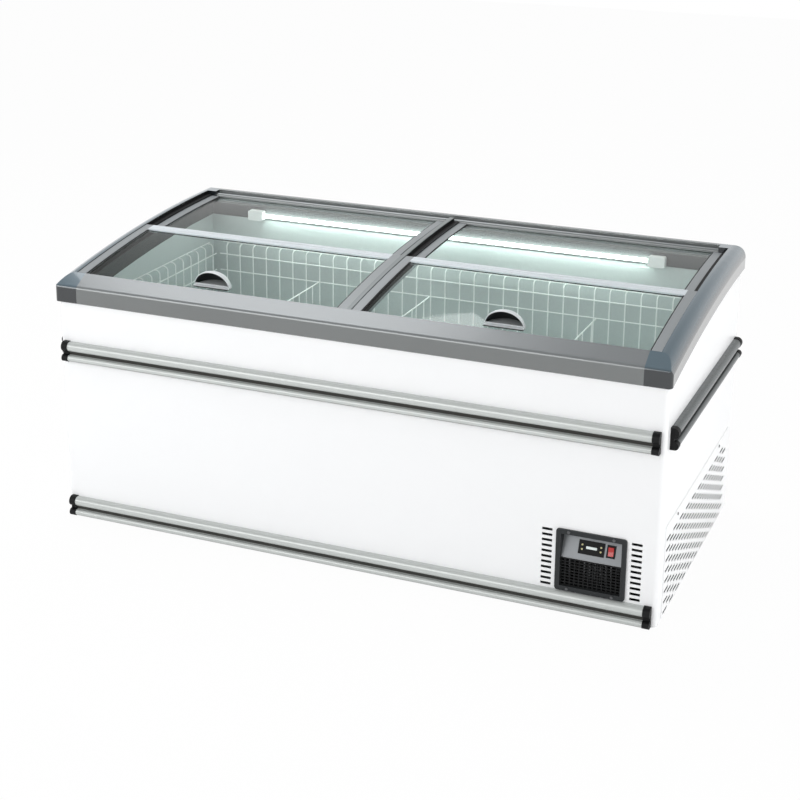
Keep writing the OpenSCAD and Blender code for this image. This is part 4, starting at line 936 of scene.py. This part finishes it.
def strip_plug(lid, side):
    low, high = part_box("front_" + lid + "_strips")
    to_middle = plug_width / 2 + plug_inset
    middle = low.x + to_middle if side == "left" else high.x - to_middle
    outline = rounded_plate(plug_width, plug_height, plug_corner)
    rings = []
    for depth, grow in plug_sections:
        scale_x, scale_z = 1 + 2 * grow / plug_width, 1 + 2 * grow / plug_height
        rings.append([on_arch(middle + x * scale_x, low.y + depth, plug_level + z * scale_z)
                      for x, z in outline])
    make_piece("front_" + lid + "_" + side + "_plug", [ring_skin(rings, close_first=True, close_last=True)],
               [finishes["black_plastic"]], "front_" + lid + "_lid")


for lid in ("left", "right"):
    for side in ("left", "right"):
        strip_plug(lid, side)

# %% [markdown]
# ## Gaskets beside the strips
# Between each strip and its glass runs a black rubber lip. It is one small rounded section, repeated along
# the arch and joined, so that it bends with the glass. Each lid carries two.

# %% gaskets
strip_wide = 26 * mm
gasket_width, gasket_height, gasket_corner = 5 * mm, 1.6 * mm, 0.7 * mm
tuck = 0.5 * mm
bends = 24


def lid_gaskets(row, side):
    lid = row + "_" + side
    low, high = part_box(lid + "_strips")
    glass_low, glass_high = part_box(lid + "_glass")
    top = math.dist((glass_high.y, glass_high.z), (arch_y, arch_z)) - arch_radius
    outline = rounded_plate(gasket_width, gasket_height, gasket_corner, steps=3)
    to_middle = strip_wide + gasket_width / 2 - tuck
    shapes = []
    for middle in (low.x + to_middle, high.x - to_middle):
        rings = []
        for i in range(bends + 1):
            y = glass_low.y + tuck + (glass_high.y - glass_low.y - 2 * tuck) * i / bends
            rings.append([on_arch(middle + x, y, top + gasket_height / 2 + z) for x, z in outline])
        shapes.append(ring_skin(rings, close_first=True, close_last=True))
    make_piece(lid + "_gaskets", shapes, [finishes["black_rubber"]], lid + "_lid")


for row in ("front", "rear"):
    for side in ("left", "right"):
        lid_gaskets(row, side)

# %% [markdown]
# ## Floor and backdrop
# The freezer stands on a plain pale floor in a white room. To the eye the floor is nearly all white, so
# that it melts into the room, but a share of it stays a real lit surface, so that the freezer's shadow lies
# on it. A studio's ceiling is dimmer than its backdrop: what is mirrored from high up is darker, so flat
# glass and tops stay clear.

# %% floor and room
floor_mesh = bpy.data.meshes.new("floor")
reach_out = 12.0
floor_mesh.from_pydata([(-reach_out, -reach_out, 0), (reach_out, -reach_out, 0), (reach_out, reach_out, 0),
                        (-reach_out, reach_out, 0)], [], [(0, 1, 2, 3)])
floor = bpy.data.objects.new("floor", floor_mesh)
bpy.context.scene.collection.objects.link(floor)
floor.location.z = -0.5 * mm
material, tree, shader = new_material("pale_floor")
shader.inputs["Base Color"].default_value = tone(244, 244, 244)
shader.inputs["Roughness"].default_value = 0.8
white_light = place(tree, "ShaderNodeEmission", color=(1, 1, 1, 1), strength=1.0)
light_path = place(tree, "ShaderNodeLightPath")
seen = place(tree, "ShaderNodeMath", operation="MAXIMUM")
join(tree, light_path.outputs["Is Camera Ray"], seen.inputs[0])
mirrored = place(tree, "ShaderNodeMath", operation="MAXIMUM")
join(tree, light_path.outputs["Is Glossy Ray"], mirrored.inputs[0])
join(tree, light_path.outputs["Is Transmission Ray"], mirrored.inputs[1])
join(tree, mirrored.outputs[0], seen.inputs[1])
washed = place(tree, "ShaderNodeMath", operation="MULTIPLY")
washed.inputs[1].default_value = 0.96
join(tree, seen.outputs[0], washed.inputs[0])
mixed = place(tree, "ShaderNodeMixShader")
join(tree, washed.outputs[0], mixed.inputs[0])
join(tree, shader.outputs[0], mixed.inputs[1])
join(tree, white_light.outputs[0], mixed.inputs[2])
join(tree, mixed.outputs[0], tree.nodes["Material Output"].inputs["Surface"])
floor.data.materials.append(material)

world = bpy.data.worlds.new("white_room")
bpy.context.scene.world = world
world.use_nodes = True
tree = world.node_tree
room = tree.nodes["Background"]
room.inputs["Color"].default_value = (1, 1, 1, 1)
fill_level = 0.58
light_path = place(tree, "ShaderNodeLightPath")
seen = place(tree, "ShaderNodeMath", operation="MAXIMUM")
join(tree, light_path.outputs["Is Camera Ray"], seen.inputs[0])
join(tree, light_path.outputs["Is Transmission Ray"], seen.inputs[1])
looking = place(tree, "ShaderNodeTexCoord")
looking_parts = place(tree, "ShaderNodeSeparateXYZ")
join(tree, looking.outputs["Generated"], looking_parts.inputs[0])
ceiling = place(tree, "ShaderNodeMapRange")
for label, value in (("From Min", 0.2), ("From Max", 0.7), ("To Min", 1.0), ("To Max", 0.3)):
    ceiling.inputs[label].default_value = value
join(tree, looking_parts.outputs["Z"], ceiling.inputs["Value"])
level = place(tree, "ShaderNodeMix", data_type="FLOAT")
join(tree, light_path.outputs["Is Glossy Ray"], level.inputs[0])
join(tree, spread_between(tree, seen.outputs[0], fill_level, 1.0), level.inputs[2])
join(tree, ceiling.outputs["Result"], level.inputs[3])
join(tree, level.outputs[0], room.inputs["Strength"])
print("floor and room ready")

# %% [markdown]
# ## Lights
# Soft studio light: a large panel in front and to the left lifts the front wall, a weaker one above models
# the curve of the lids and the shoulders of the rails, and one at the right lifts the end. The room fills
# the rest.


# %% lights
def soft_panel(name, size, watts, spot, target):
    light = bpy.data.lights.new(name, "AREA")
    light.shape = "RECTANGLE"
    light.size, light.size_y = size
    light.energy = watts
    lamp = bpy.data.objects.new(name, light)
    bpy.context.scene.collection.objects.link(lamp)
    lamp.location = spot
    lamp.rotation_euler = (Vector(target) - Vector(spot)).to_track_quat("-Z", "Y").to_euler()
    return lamp


soft_panel("front_panel_light", (4.0, 2.5), 114.0, (-2.2, -5.0, 2.6), (0, 0, 0.4))
soft_panel("top_panel_light", (3.5, 2.5), 78.0, (-1.6, 1.4, 4.2), (0, 0, 0.7))
soft_panel("end_panel_light", (2.5, 1.0), 60.0, (4.6, -0.6, 0.6), (0.9, 0, 0.5))
print("lights ready")

# %% [markdown]
# ## Camera
# The camera stands to the right in front and looks down a little, as in the picture. Its place and its
# angles were measured on the edges of the cabinet, whose real sizes are known.

# %% camera
camera_data = bpy.data.cameras.new("camera")
camera = bpy.data.objects.new("camera", camera_data)
bpy.context.scene.collection.objects.link(camera)
bpy.context.scene.camera = camera
camera_data.sensor_width = 36.0
camera_data.lens = 74.09
camera_data.shift_y = -0.15
azimuth, elevation, roll = (math.radians(a) for a in (22.543, 16.688, 0.485))
back = Vector((math.cos(elevation) * math.sin(azimuth), -math.cos(elevation) * math.cos(azimuth),
               math.sin(elevation)))
level_right = Vector((math.cos(azimuth), math.sin(azimuth), 0))
level_up = back.cross(level_right)
right = math.cos(roll) * level_right + math.sin(roll) * level_up
up = back.cross(right)
turned = Matrix((right, up, back)).transposed().to_4x4()
camera.matrix_world = Matrix.Translation((1.7881, -4.3276, 2.1397)) @ turned
bpy.context.scene.view_settings.view_transform = "Standard"
print("camera at", [round(v, 3) for v in camera.location])
